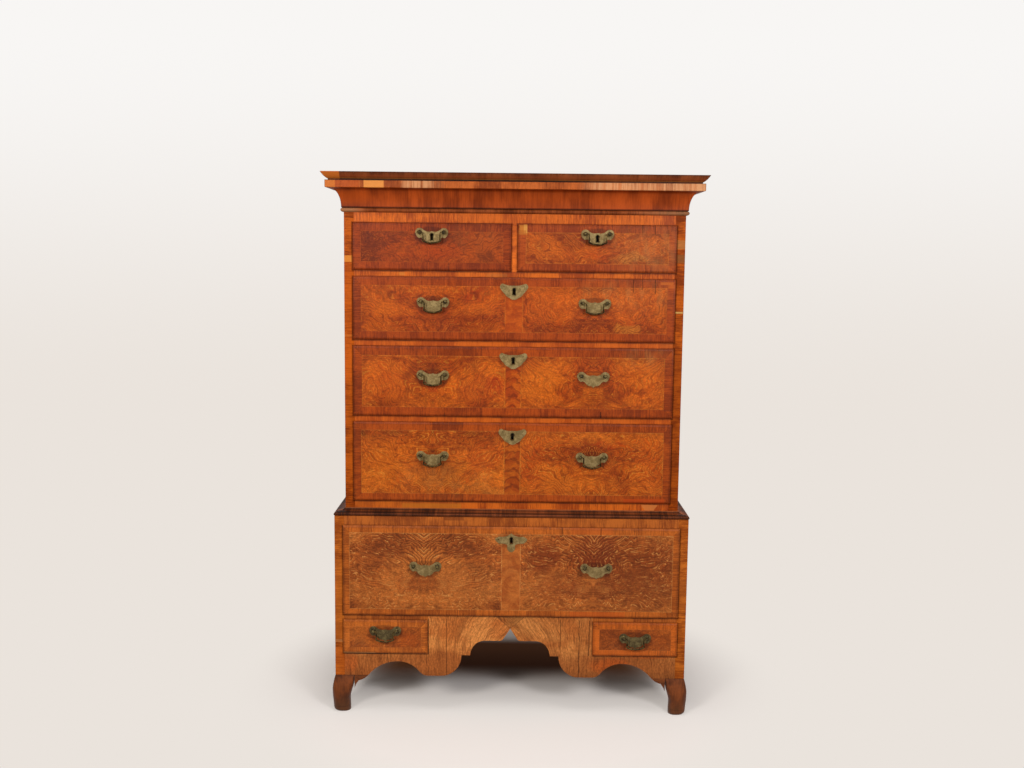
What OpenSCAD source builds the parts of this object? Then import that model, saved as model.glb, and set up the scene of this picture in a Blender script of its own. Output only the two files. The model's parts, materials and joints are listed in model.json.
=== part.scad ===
// Chest on stand, early eighteenth century style, walnut veneered on pine and oak.
// Two short and three long drawers above, one deep and two small drawers in the stand.
// Millimetres. +Z up, the front faces -Y, origin on the floor at the middle of the footprint.

/* [Overall] */
// Width of the upper carcase
carcase_w = 988; // [920:1:1060]
// Depth of the upper carcase
carcase_d = 522; // [460:1:580]
// How far the stand stands out past the upper carcase at the front and sides
stand_step = 29; // [22:1:36]
// How far the cornice stands out past the upper carcase
cornice_over = 58; // [52:1:70]
// Height of the feet
foot_h = 113; // [100:1:130]

/* [Drawer fronts] */
// Height of the two short top drawers
short_h = 138; // [120:1:160]
// Height of the upper long drawer
upper_h = 185; // [160:1:210]
// Height of the middle long drawer
middle_h = 207; // [180:1:230]
// Height of the lower long drawer
lower_h = 238; // [210:1:260]
// Height of the deep drawer in the stand
deep_h = 273; // [240:1:300]
// Height of the two small drawers in the stand
small_h = 104; // [92:1:120]
// Width of the two small drawers in the stand
small_w = 253; // [230:1:256]
// How far a drawer front laps over the carcase around it
lap = 4; // [3:0.5:6]
// How far a drawer front stands proud of the carcase
proud = 7; // [6:0.5:9]
// Width of the rounded lip around a drawer front
lip_w = 6; // [5:0.5:8]
// Height of the step between the lip and the flat of the front
lip_step = 1.2; // [0.8:0.1:2]

/* [Rails and mouldings] */
// Rail seen between the upper drawers
rail_show = 17; // [14:1:20]
// Rail seen between the stand drawers
stand_rail_show = 14; // [12:1:18]
// Rail seen above the deep drawer
stand_top_show = 27; // [24:1:34]
// Rail seen between the waist moulding and the lower drawer
base_show = 21; // [14:1:28]
// Rail seen between the short drawers and the neck moulding
top_show = 28; // [22:1:34]
// Height of the stand front below the small drawers
apron_show = 69; // [66:1:76]
// Height of the waist moulding
waist_h = 20; // [18:1:26]
// Radius of the bead along the edge of the waist moulding
bead_r = 5; // [4:0.5:6]
// How far that bead stands out past the stand
bead_over = 2; // [1:0.5:3]
// Height of the neck moulding under the cornice
neck_h = 13; // [10:1:16]
// How far the neck moulding stands out
neck_over = 8.5; // [7:0.5:10]
// Height of the cornice hollow
cavetto_h = 55; // [50:1:60]
// How far the cornice hollow reaches out
cavetto_over = 33; // [30:1:38]
// Height of the flat band above the hollow
band_h = 20; // [16:1:24]
// How far the flat band stands out
band_over = 47; // [42:1:50]
// Height of the top moulding of the cornice
crown_h = 23; // [20:1:28]

/* [Boards] */
// Thickness of the carcase and stand sides
side_t = 28; // [24:1:32]
// Thickness of the backboards
back_t = 12; // [10:1:14]
// Thickness of the front edge pieces behind the veneer
rail_t = 24; // [22:1:30]
// Depth of the rails between the drawers
rail_d = 60; // [50:1:80]
// Thickness of the dustboards
dust_t = 12; // [10:1:13]
// Thickness of the top and bottom boards
board_t = 18; // [16:1:20]
// Thickness of the apron board
apron_t = 22; // [20:1:24]

/* [Drawer boxes] */
// Space between the back of a closed drawer and the backboards
behind = 30; // [10:1:60]
// Thickness of the board behind each drawer front
front_t = 20; // [18:1:24]
// Thickness of the drawer sides
lining_t = 10; // [8:1:12]
// Thickness of the drawer backs
tail_t = 9; // [8:1:12]
// Thickness of the drawer bottoms
floor_t = 8; // [6:1:9]
// Height of the drawer bottom above the lower edge of the sides
floor_up = 6; // [5:1:10]
// Length of the dovetails let into the front board
dovetail_l = 14; // [12:1:16]
// Aimed distance between dovetails
dovetail_pitch = 58; // [50:1:66]
// Width of the pins between the dovetails at their narrow side
pin_w = 14; // [12:1:18]

/* [Brasses] */
// Distance between the two posts of a pull
post_pitch = 70; // [66:1:76]
// How far the pivot of a bail stands off the drawer front
post_reach = 14; // [13:0.5:16]
// Thickness of the brass plates
plate_t = 1.2; // [1:0.1:1.6]
// Radius of the shank of a post
shank_r = 2.6; // [2.2:0.1:3]
// Radius of the ball of a post
ball_r = 5.2; // [4.8:0.1:5.6]
// Radius of a bail where it turns in its posts
bail_pin_r = 1.5; // [1.2:0.1:1.8]
// Radius of a bail at the middle of its grip
bail_grip_r = 2.5; // [2.2:0.1:3]
// Length of the straight leg of a bail
bail_leg = 17; // [15:1:20]
// Distance of each pull from the middle of a long drawer
pull_x = 235; // [180:1:280]
// Distance of each pull from the middle of the deep drawer
deep_pull_x = 253; // [190:1:300]
// Height of the pulls above the middle of a long drawer
pull_rise = 21; // [0:1:26]
// Height of the pulls above the middle of the deep drawer
deep_pull_rise = 17; // [0:1:30]
// Height of the left small pull above the middle of its drawer
small_rise_left = 21; // [0:1:22]
// Height of the right small pull above the middle of its drawer
small_rise_right = 7; // [0:1:22]
// Keyhole below the top of its drawer front
key_drop = 40; // [38:1:44]
// Keyhole below the posts on a short drawer
key_below_posts = 13; // [12:0.5:14]

/* [Apron] */
// Height of the point at the middle of the apron above its lower edge
peak_h = 149; // [140:1:156]
// Height of the flat of the middle arch
flat_h = 111; // [104:1:118]
// Height of the ledge beside the middle arch
ledge_h = 65; // [60:1:70]
// Half width of the middle arch at its shoulders
shoulder_x = 119; // [110:1:128]
// Half width of the middle arch at its ledges
ledge_x = 145; // [138:1:152]
// Half width of the middle arch at its foot
lobe_x = 206; // [200:1:214]
// Height of the two outer arches
arch_h = 44; // [40:1:48]
// Width of the two outer arches
arch_w = 179; // [170:1:184]
// Radius of the top of the two outer arches
arch_r = 80; // [70:1:88]
// Width of the arch in each side of the stand
side_arch_w = 260; // [220:1:300]

/* [Feet] */
// Width of a foot where it meets the stand
foot_w = 57; // [52:1:60]
// How far a foot bulges past the stand
foot_bulge = 9.5; // [8:0.5:11]
// Width of a foot on the floor
pad_w = 43; // [38:1:46]
// Length of the brackets beside the feet
bracket_l = 42; // [38:1:46]
// Depth of the brackets beside the feet
bracket_h = 41; // [36:1:46]

/* [Fits] */
// Gap between glued pieces
glue_gap = 0.1; // [0.05:0.05:0.2]
// Gap behind the lip of a closed drawer
lip_gap = 0.2; // [0.1:0.1:0.4]
// Gap beside a drawer in its opening
side_gap = 1; // [0.5:0.1:1.5]
// Gap above a drawer in its opening
top_gap = 1.5; // [1:0.1:2]
// Gap under a drawer on its dustboard
slide_gap = 0.3; // [0.2:0.1:0.5]
// Radial clearance of a bail in its posts
pin_fit = 0.08; // [0.05:0.01:0.1]
// Clearance around a lock bolt
bolt_fit = 0.15; // [0.1:0.05:0.3]

/* [Hidden] */

walnut = [0.62, 0.29, 0.12];
walnut_dark = [0.40, 0.20, 0.11];
oak = [0.62, 0.46, 0.28];
pine = [0.72, 0.55, 0.34];
brass = [0.62, 0.55, 0.33];
iron = [0.28, 0.27, 0.26];

// Planes that run the depth of the chest
back_y = (carcase_d + cornice_over) / 2;
upper_front = back_y - carcase_d;
stand_front = upper_front - stand_step;
stand_w = carcase_w + 2 * stand_step;
upper_in = carcase_w / 2 - side_t;
stand_in = stand_w / 2 - side_t;

// Heights of the lower edges of the drawer fronts, from the floor up
small_z = foot_h + apron_show;
deep_z = small_z + small_h + stand_rail_show;
stand_top = deep_z + deep_h + stand_top_show;
lower_z = stand_top + waist_h + base_show;
middle_z = lower_z + lower_h + rail_show;
upper_z = middle_z + middle_h + rail_show;
short_z = upper_z + upper_h + rail_show;
neck_z = short_z + short_h + top_show;
cornice_h = neck_h + cavetto_h + band_h + crown_h + 1;
top_z = neck_z + cornice_h;

// Lengths of the drawers, front to back
upper_len = carcase_d - back_t - behind;
stand_len = carcase_d + stand_step - back_t - behind;

// Widths of the drawer fronts
long_w = 2 * (upper_in + lap);
short_w = (long_w - rail_show) / 2;
deep_w = 2 * (stand_in + lap);

// Each drawer: middle of its front in x, lower edge, width, height, carcase front, length
short_left = [-(short_w + rail_show) / 2, short_z, short_w, short_h, upper_front, upper_len];
short_right = [(short_w + rail_show) / 2, short_z, short_w, short_h, upper_front, upper_len];
upper_long = [0, upper_z, long_w, upper_h, upper_front, upper_len];
middle_long = [0, middle_z, long_w, middle_h, upper_front, upper_len];
lower_long = [0, lower_z, long_w, lower_h, upper_front, upper_len];
deep = [0, deep_z, deep_w, deep_h, stand_front, stand_len];
small_mid = stand_in + lap - small_w / 2;
small_left = [-small_mid, small_z, small_w, small_h, stand_front, stand_len];
small_right = [small_mid, small_z, small_w, small_h, stand_front, stand_len];

// Inner edge of the opening of a small drawer, and the partition beside it
small_in = small_mid - small_w / 2 + lap;
partition_t = 18;

// Pieces behind the rails
rail_h = rail_show + 2 * lap;
mid_rail_h = stand_rail_show + 2 * lap;
bearer_w = 20;
divider_guide_h = 20;
strip_h = 14;

// Grooves of the drawer bottoms, and how far a drawer back stays below the sides
floor_bite = 4;
back_low = 4;

// Fittings of a lock: its case, plates and bolt, and the mortise for the bolt in the rail above
case_w = 52;
case_h = 46;
case_d = 12.5;
lock_plate_w = 64;
lock_plate_h = 52;
lock_plate_t = 1.6;
selvage_d = 14;
bolt_w = 24;
bolt_h = 22;
bolt_t = 5;
bolt_back = 7;
bolt_low = 0.9;
mortise_side = 2;
mortise_h = 8;
key_r = 4.5;
key_slot = 6;
key_h = 19;
key_pocket = 8;

// Brass details
post_hole = 0.2;
seat_gap = 0.05;
foot_r = 6.4;
nut_r = 6;
nut_t = 3;
plate_drop = 34;
lobe_r = 12.5;
key_rim_w = 1.8;
key_rim_t = 0.8;

round_fine = 48;
arc_steps = 10;

// Points on an arc of an ellipse
function arc(c, rx, ry, a0, a1, n = arc_steps) =
  [for (i = [0:n]) let (a = a0 + (a1 - a0) * i / n) [c[0] + rx * cos(a), c[1] + ry * sin(a)]];

// Parts of a drawer's description
function mid_x(d) = d[0];
function low_z(d) = d[1];
function face_w(d) = d[2];
function face_h(d) = d[3];
function front_y(d) = d[4];
function back_of(d) = d[4] + d[5];
function face_top(d) = d[1] + d[3];
function inner_w(d) = d[2] - 2 * lap - 2 * side_gap;
function box_h(d) = d[3] - 2 * lap - top_gap - slide_gap;
function box_z(d) = d[1] + lap + slide_gap;
function veneer_y(d) = front_y(d) - lip_gap - proud;
function board_y(d) = front_y(d) - lip_gap;
function board_back(d) = board_y(d) + front_t;
function key_z(d) = face_top(d) - key_drop;
function tail_count(d) = max(1, round(box_h(d) / dovetail_pitch));

// A board given by its low corner and size
module board(x, y, z, w, d, h) {
  translate([x, y, z]) cube([w, d, h]);
}

// A length across the front, drawn by its depth from the front plane and its height
module across(x0, x1, y) {
  translate([x0, y, 0]) rotate([90, 0, 90]) linear_extrude(x1 - x0) mirror([1, 0]) children();
}

// A length down the right side, drawn by its distance from the side plane and its height
module along(x, y0, y1) {
  translate([x, y1, 0]) rotate([90, 0, 0]) linear_extrude(y1 - y0) children();
}

// A moulding that runs round the front and both sides, mitred at the front corners
module mitred(w, front, over) {
  far = over + 1;
  intersection() {
    across(-w / 2 - far, w / 2 + far, front) children();
    translate([0, 0, -1]) linear_extrude(top_z + 2)
      polygon([[-w / 2 + glue_gap, front + 1], [-w / 2 + glue_gap, front],
               [-w / 2 - far + glue_gap, front - far], [w / 2 + far - glue_gap, front - far],
               [w / 2 - glue_gap, front], [w / 2 - glue_gap, front + 1]]);
  }
  for (m = [0, 1]) mirror([m, 0, 0])
    intersection() {
      along(w / 2, front - far, back_y) children();
      translate([0, 0, -1]) linear_extrude(top_z + 2)
        polygon([[w / 2, front], [w / 2 + far, front - far], [w / 2 + far, back_y], [w / 2, back_y]]);
    }
}

// Keyhole with its middle at the origin: a round top and a slot that widens downwards
module keyhole(grow = 0) {
  translate([0, key_h / 2 - key_r]) circle(r = key_r + grow, $fn = round_fine);
  polygon([[-key_slot / 2 - grow, key_h / 2 - key_r], [key_slot / 2 + grow, key_h / 2 - key_r],
           [key_slot / 2 + 1 + grow, -key_h / 2 - grow], [-key_slot / 2 - 1 - grow, -key_h / 2 - grow]]);
}

// Turns a flat outline in x and z into a plate whose front lies at y
module upright(y, t) {
  translate([0, y + t, 0]) rotate([90, 0, 0]) linear_extrude(t) children();
}

// Round hole or pin along y
module rod_y(x, z, y, l, r) {
  translate([x, y + l, z]) rotate([90, 0, 0]) cylinder(r = r, h = l, $fn = round_fine);
}

// Carcase of the upper part

module upper_sides() {
  color(walnut) for (x = [-carcase_w / 2, upper_in])
    board(x, upper_front, stand_top, side_t, carcase_d, top_z - stand_top);
}

module top_board() {
  color(pine) board(-upper_in, upper_front, top_z - board_t, 2 * upper_in, carcase_d - back_t, board_t);
}

module bottom_board() {
  color(pine) board(-upper_in, upper_front + rail_t, lower_z + lap - board_t, 2 * upper_in,
                    carcase_d - rail_t - back_t, board_t);
}

module upper_backboards() {
  boards = 4;
  pitch = (top_z - stand_top) / boards;
  color(pine) for (i = [0:boards - 1])
    board(-upper_in, back_y - back_t, stand_top + i * pitch, 2 * upper_in, back_t, pitch - glue_gap);
}

// The slot in a rail that the bolt of the drawer below rises into
module bolt_mortise(d) {
  w = bolt_w + 2 * mortise_side;
  t = bolt_t + 2 * mortise_side;
  board(mid_x(d) - w / 2, board_back(d) - bolt_back - t / 2, face_top(d) - lap - 1, w, t, mortise_h + 1);
}

module upper_rails() {
  color(walnut) {
    board(-upper_in, upper_front, stand_top, 2 * upper_in, rail_t, lower_z + lap - stand_top);
    for (d = [lower_long, middle_long, upper_long])
      difference() {
        board(-upper_in, upper_front, face_top(d) - lap, 2 * upper_in, rail_d, rail_h);
        bolt_mortise(d);
      }
    difference() {
      board(-upper_in, upper_front, short_z + short_h - lap, 2 * upper_in, rail_t,
            top_z - board_t - (short_z + short_h - lap));
      bolt_mortise(short_left);
      bolt_mortise(short_right);
    }
    board(-rail_h / 2, upper_front, short_z + lap + glue_gap, rail_h, rail_d,
          short_h - 2 * lap - 2 * glue_gap);
  }
}

module upper_dustboards() {
  y0 = upper_front + rail_d;
  depth = carcase_d - rail_d - back_t;
  color(oak) {
    for (z = [middle_z, upper_z, short_z]) {
      board(-upper_in, y0, z + lap - dust_t, 2 * upper_in, depth, dust_t);
      for (x = [-upper_in, upper_in - bearer_w])
        board(x, y0, z + lap - rail_h, bearer_w, depth, rail_h - dust_t - glue_gap);
    }
    board(-rail_h / 2, y0, short_z + lap + glue_gap, rail_h, depth, divider_guide_h);
  }
}

function cornice_outline() = let (
    z1 = neck_z + neck_h + 1,
    z2 = z1 + cavetto_h,
    z3 = z2 + band_h,
    cavetto_in = neck_over - 2,
    soffit = 3,
    quirk = band_over - 8,
    fillet = 4,
    edge = 2
  ) concat(
    [[0, z1 - 1 + glue_gap], [cavetto_in, z1 - 1 + glue_gap]],
    arc([cavetto_over, z1], cavetto_over - cavetto_in, cavetto_h - soffit, 180, 90),
    [[band_over - 1, z2 - 1], [band_over, z2], [band_over, z3], [quirk, z3], [quirk, z3 + fillet]],
    bow([quirk + 2, z3 + fillet], [cornice_over - 1, top_z - edge], -1.5),
    [[cornice_over - 1, top_z - edge], [cornice_over, top_z - edge], [cornice_over, top_z], [0, top_z]]
  );

module cornice() {
  color(walnut) {
    mitred(carcase_w, upper_front, cornice_over) polygon(cornice_outline());
    mitred(carcase_w, upper_front, neck_over)
      polygon(arc([0, neck_z + neck_h / 2], neck_over, neck_h / 2, -90, 90));
  }
}

// Stand

module side_arch() {
  mid = (stand_front + back_y) / 2;
  r = (pow(side_arch_w / 2, 2) + arch_h * arch_h) / (2 * arch_h);
  a = asin(side_arch_w / 2 / r);
  polygon(concat(
    [[mid + side_arch_w / 2, foot_h - 5]],
    arc([mid, foot_h + arch_h - r], r, r, 90 - a, 90 + a, 16),
    [[mid - side_arch_w / 2, foot_h - 5]]
  ));
}

module stand_sides() {
  color(walnut) for (x = [-stand_w / 2, stand_in])
    translate([x, 0, 0]) rotate([90, 0, 90]) linear_extrude(side_t) difference() {
      translate([stand_front, foot_h]) square([back_y - stand_front, stand_top - foot_h]);
      side_arch();
    }
}

module stand_backboards() {
  boards = 3;
  z0 = small_z + lap - dust_t;
  pitch = (stand_top - z0) / boards;
  color(pine) for (i = [0:boards - 1])
    board(-stand_in, back_y - back_t, z0 + i * pitch, 2 * stand_in, back_t, pitch - glue_gap);
}

module stand_rails() {
  top_rail_z = deep_z + deep_h - lap;
  color(walnut) {
    difference() {
      board(-stand_in, stand_front, top_rail_z, 2 * stand_in, rail_t, stand_top - top_rail_z);
      bolt_mortise(deep);
    }
    board(-stand_in, stand_front, deep_z + lap - mid_rail_h, 2 * stand_in, rail_d, mid_rail_h);
  }
  color(pine) {
    board(-stand_in, stand_front + rail_t + glue_gap, stand_top - board_t, 2 * stand_in,
          back_y - back_t - stand_front - rail_t - glue_gap, board_t);
    for (x = [-stand_in, stand_in - side_t], y = [stand_front + apron_t, back_y - back_t - side_t])
      board(x, y, foot_h, side_t, side_t, small_z + lap - dust_t - foot_h - glue_gap);
  }
}

module stand_dustboards() {
  y1 = back_y - back_t;
  y_deep = stand_front + rail_d;
  y_small = stand_front + apron_t;
  z_deep = deep_z + lap - dust_t;
  z_small = small_z + lap;
  part_x = small_in - partition_t;
  color(oak) {
    board(-stand_in, y_deep, z_deep, 2 * stand_in, y1 - y_deep, dust_t);
    for (m = [0, 1]) mirror([m, 0, 0]) {
      board(stand_in - bearer_w, y_deep, deep_z + lap - mid_rail_h, bearer_w, y1 - y_deep,
            mid_rail_h - dust_t - glue_gap);
      board(part_x, y_small, z_small - dust_t, stand_in - part_x, y1 - y_small, dust_t);
      board(part_x, y_deep, z_small + glue_gap, partition_t, y1 - y_deep, z_deep - z_small - 2 * glue_gap);
      board(part_x, y_small, z_small - dust_t - glue_gap - strip_h, partition_t, y1 - y_small, strip_h);
    }
  }
}

// The opening of one outer arch of the apron, with its inner foot on the lobe
module outer_arch(mid) {
  half = arch_w / 2;
  lobe = (half * half + arch_h * arch_h) / (2 * arch_h) - arch_r;
  a = asin(half / (arch_r + lobe));
  tail = (half * half + arch_h * arch_h) / (2 * arch_h);
  b = asin(half / tail);
  polygon(concat(
    [[mid - half, foot_h - 5]],
    arc([mid - half, foot_h + lobe], lobe, lobe, -90, -90 + a, 6),
    arc([mid, foot_h + arch_h - arch_r], arch_r, arch_r, 90 + a, 90),
    arc([mid, foot_h + arch_h - tail], tail, tail, 90, 90 - b, 8),
    [[mid + half, foot_h - 5]]
  ));
}

// Right half of the opening of the middle arch: point, flat, shoulder, ledge and lobe
module middle_arch_half() {
  curl_r = 12;
  curl_x = 31;
  c = [curl_x, foot_h + flat_h + curl_r];
  p = [0, foot_h + peak_h];
  turn = atan2(p[1] - c[1], p[0] - c[0]) + acos(curl_r / norm(c - p));
  round_x = 44;
  polygon(concat(
    [[-1, foot_h - 5], [-1, p[1] - 1], p],
    arc(c, curl_r, curl_r, turn, 270, 5),
    arc([shoulder_x - round_x, foot_h + ledge_h], round_x, flat_h - ledge_h, 90, 0, 8),
    arc([lobe_x, foot_h + ledge_h], lobe_x - ledge_x, ledge_h, 180, 270),
    [[lobe_x, foot_h - 5]]
  ));
}

module apron() {
  foot_in = stand_w / 2 - foot_w - bracket_l;
  color(walnut) upright(stand_front, apron_t) difference() {
    translate([-stand_in, foot_h]) square([2 * stand_in, deep_z + lap - mid_rail_h - foot_h]);
    for (m = [0, 1]) mirror([m, 0]) {
      translate([small_in, small_z + lap]) square([stand_in - small_in + 1, small_h]);
      outer_arch(foot_in - arch_w / 2);
      middle_arch_half();
    }
  }
}

function waist_outline() = let (
    out = stand_step + bead_over,
    quirk = out - bead_r - 3,
    hollow_low = 2 * bead_r + 1.5,
    hollow_top = waist_h - 1.5
  ) [for (p = concat(
    [[0, 0]],
    arc([out - bead_r, bead_r], bead_r, bead_r, -90, 90, 8),
    [[quirk, 2 * bead_r], [quirk, hollow_low]],
    arc([quirk, hollow_top], quirk - 3, hollow_top - hollow_low, -90, -180, 8),
    [[3, waist_h], [0, waist_h]]
  )) [p[0], p[1] + stand_top]];

module waist_moulding() {
  color(walnut_dark) mitred(carcase_w, upper_front, stand_step + bead_over) polygon(waist_outline());
}

// Sections of a foot from the top down: share of its height, bulge share, width, corner radius
foot_sections = [
  [1, 0, foot_w, 3], [0.9, 0.35, foot_w + 0.5, 5], [0.77, 0.72, foot_w + 2.5, 9],
  [0.65, 0.95, foot_w + 2.5, 13], [0.52, 1, foot_w - 1, 17], [0.38, 0.97, foot_w - 5, 20],
  [0.24, 0.85, foot_w - 6, 22], [0.13, 0.75, foot_w - 6.5, 22], [0.05, 0.6, pad_w + 6, 21],
  [0, 0, pad_w, 18]
];
foot_corner = 7;
ring_steps = 2;

// The section a share t of the way from b to c, on a smooth curve through the rows a, b, c and d
function between(a, b, c, d, t) =
  0.5 * (2 * b + (c - a) * t + (2 * a - 5 * b + 4 * c - d) * t * t + (3 * b - a - 3 * c + d) * t * t * t);

function foot_rings() = let (s = foot_sections, last = len(s) - 1) concat(
  [for (i = [0:last - 1], k = [0:ring_steps - 1])
    between(s[max(0, i - 1)], s[i], s[i + 1], s[min(last, i + 2)], k / ring_steps)],
  [s[last]]);

function foot_ring(s) = let (w = s[2], r = min(s[3], w / 2 - 0.1), o = -foot_bulge * s[1])
  [for (q = [[1, 1, 0], [0, 1, 90], [0, 0, 180], [1, 0, 270]], i = [0:foot_corner])
     let (a = q[2] + 90 * i / foot_corner)
     [o + (q[0] ? w - r : r) + r * cos(a), o + (q[1] ? w - r : r) + r * sin(a), s[0] * foot_h]];

// A foot whose outer corner under the stand is at the origin, growing towards +x and +y
module foot_body() {
  n = 4 * (foot_corner + 1);
  sections = foot_rings();
  rings = len(sections);
  pts = [for (s = sections) each foot_ring(s)];
  sides = [for (k = [0:rings - 2], i = [0:n - 1]) let (j = (i + 1) % n, a = k * n, b = (k + 1) * n)
             each [[a + i, a + j, b + j], [a + i, b + j, b + i]]];
  caps = [[for (i = [n - 1:-1:0]) i], [for (i = [0:n - 1]) (rings - 1) * n + i]];
  polyhedron(points = pts, faces = concat(sides, caps), convexity = 4);
}

module feet() {
  color(walnut_dark) for (m = [0, 1]) mirror([m, 0, 0]) {
    translate([-stand_w / 2, stand_front, 0]) foot_body();
    intersection() {
      translate([-stand_w / 2, back_y, 0]) mirror([0, 1, 0]) foot_body();
      board(-stand_w, back_y - 2 * foot_w, -1, stand_w, 2 * foot_w, foot_h + 2);
    }
  }
}

// Bracket outline: its foot end at x = 0, its top edge at the origin's height
module bracket_outline() {
  step = [bracket_l * 0.28, -bracket_h * 0.43];
  cusp = [bracket_l * 0.24, -bracket_h * 0.52];
  polygon(concat([[0, 0]], bow([bracket_l, 0], step, 3), bow(step, cusp, 0, 1),
                 bow(cusp, [0, -bracket_h], -1.5), [[0, -bracket_h]]));
}

module knee_brackets() {
  inset = 1;
  bracket_t = 20;
  front_x = stand_w / 2 - foot_w - glue_gap;
  color(walnut_dark) for (m = [0, 1]) mirror([m, 0, 0]) {
    translate([front_x, stand_front + inset + bracket_t, foot_h]) rotate([90, 0, 0])
      linear_extrude(bracket_t) mirror([1, 0]) bracket_outline();
    translate([stand_w / 2 - inset - bracket_t, stand_front + foot_w + glue_gap, foot_h]) rotate([90, 0, 90])
      linear_extrude(bracket_t) bracket_outline();
    translate([stand_w / 2 - inset - bracket_t, back_y - foot_w - glue_gap, foot_h]) rotate([90, 0, 90])
      linear_extrude(bracket_t) mirror([1, 0]) bracket_outline();
  }
}

// Drawers

// Section of the face edge: rounded lip, step and flat, from -half to half
function lip_section(half) = let (rise = proud - lip_step) concat(
    [[half, 0]],
    arc([half - lip_w, 0], lip_w, rise, 0, 90, 6),
    [[half - lip_w, proud], [-half + lip_w, proud]],
    arc([-half + lip_w, 0], lip_w, rise, 90, 180, 6)
  );

module post_holes(d, pulls, y, l, r) {
  for (p = pulls, s = [-1, 1])
    rod_y(mid_x(d) + p[0] + s * post_pitch / 2, low_z(d) + face_h(d) / 2 + p[1], y, l, r);
}

module key_cut(d, y, t) {
  translate([mid_x(d), 0, key_z(d)]) upright(y, t) keyhole();
}

module drawer_face(d, pulls, locked) {
  w = face_w(d);
  h = face_h(d);
  color(walnut) difference() {
    translate([mid_x(d), board_y(d), low_z(d) + h / 2]) intersection() {
      translate([-w / 2, 0, 0]) rotate([90, 0, 90]) linear_extrude(w)
        polygon([for (p = lip_section(h / 2)) [-p[1], p[0]]]);
      translate([0, 0, -h / 2]) linear_extrude(h) polygon([for (p = lip_section(w / 2)) [p[0], -p[1]]]);
    }
    post_holes(d, pulls, veneer_y(d) - 1, proud + 2, shank_r + post_hole);
    if (locked) key_cut(d, veneer_y(d) - 1, proud + 2);
  }
}

// Dovetails of one corner, seen from the side: they reach towards -y from the shoulder
module tails(n, h, l, gap) {
  pitch = h / n;
  flare = pin_w / 4;
  for (i = [0:n - 1])
    polygon([[1, i * pitch + pin_w / 2 - gap], [0, i * pitch + pin_w / 2 - gap],
             [-l - gap, i * pitch + pin_w / 2 - flare - gap],
             [-l - gap, (i + 1) * pitch - pin_w / 2 + flare + gap],
             [0, (i + 1) * pitch - pin_w / 2 + gap], [1, (i + 1) * pitch - pin_w / 2 + gap]]);
}

// Dovetails at both ends of a drawer side, or with a gap the sockets for them
module side_outline(d, gap) {
  n = tail_count(d);
  translate([board_back(d), 0]) tails(n, box_h(d), dovetail_l, gap);
  translate([back_of(d) - tail_t, 0]) mirror([1, 0]) tails(n, box_h(d), tail_t, gap);
}

module side_board(d) {
  difference() {
    translate([-lining_t, 0, box_z(d)]) rotate([90, 0, 90]) linear_extrude(lining_t) {
      side_outline(d, 0);
      translate([board_back(d) + glue_gap, 0])
        square([back_of(d) - tail_t - board_back(d) - 2 * glue_gap, box_h(d)]);
    }
    board(-lining_t - 1, board_back(d) - floor_bite - glue_gap, box_z(d) + floor_up - glue_gap,
          floor_bite + 1 + glue_gap, d[5] + 1, floor_t + 2 * glue_gap);
  }
}

module sockets(d) {
  for (m = [0, 1]) translate([mid_x(d), 0, 0]) mirror([m, 0, 0])
    translate([inner_w(d) / 2 - lining_t - glue_gap, 0, box_z(d)]) rotate([90, 0, 90])
      linear_extrude(lining_t + 2) side_outline(d, glue_gap);
}

// Room for the lock in the back of the front board
module lock_recess(d, gap) {
  x = mid_x(d);
  top = box_z(d) + box_h(d);
  y = board_back(d);
  board(x - case_w / 2 - gap, y - case_d - gap, top - case_h - gap,
        case_w + 2 * gap, case_d + gap + 1, case_h + 1);
  board(x - lock_plate_w / 2 - gap, y - lock_plate_t - gap, top - lock_plate_h - gap,
        lock_plate_w + 2 * gap, lock_plate_t + gap + 1, lock_plate_h + 1);
  board(x - lock_plate_w / 2 - gap, y - selvage_d - gap, top - lock_plate_t - gap,
        lock_plate_w + 2 * gap, selvage_d + gap + 1, lock_plate_t + gap + 1);
}

module drawer_box(d, pulls, locked) {
  x = mid_x(d);
  w = inner_w(d);
  z = box_z(d);
  h = box_h(d);
  inside = w / 2 - lining_t;
  floor_x = inside + floor_bite - glue_gap;
  color(pine) difference() {
    board(x - w / 2, board_y(d), z, w, front_t, h);
    sockets(d);
    board(x - floor_x - glue_gap, board_back(d) - floor_bite - glue_gap, z + floor_up - glue_gap,
          2 * floor_x + 2 * glue_gap, floor_bite + 2, floor_t + 2 * glue_gap);
    post_holes(d, pulls, board_y(d) - 1, front_t + 2, shank_r + post_hole);
    if (locked) {
      key_cut(d, board_y(d) - 1, front_t + 2);
      lock_recess(d, glue_gap);
    }
  }
  color(oak) {
    for (m = [0, 1]) translate([x, 0, 0]) mirror([m, 0, 0]) translate([w / 2, 0, 0]) side_board(d);
    difference() {
      board(x - w / 2, back_of(d) - tail_t, z + floor_up + floor_t + glue_gap, w, tail_t,
            h - floor_up - floor_t - glue_gap - back_low);
      sockets(d);
    }
    board(x - floor_x, board_back(d) - floor_bite, z + floor_up, 2 * floor_x,
          back_of(d) - board_back(d) + floor_bite, floor_t);
  }
}

// Points of a shallow bow from p to q that swells by rise to the left of the way it runs
function bow(p, q, rise, n = 5) = let (d = q - p, side = [-d[1], d[0]] / norm(d))
  [for (i = [0:n - 1]) let (t = i / n) p + t * d + 4 * rise * t * (1 - t) * side];

// Bows from point to point, each point followed by the rise of the bow that leaves it
function bows(list) = [for (i = [0:len(list) - 2])
  each bow([list[i][0], list[i][1]], [list[i + 1][0], list[i + 1][1]], list[i][2])];

// An outline from its right half, which starts and ends on the middle line
function both_sides(half) = concat(half, [for (i = [len(half) - 1:-1:1]) [-half[i][0], half[i][1]]]);

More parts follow.
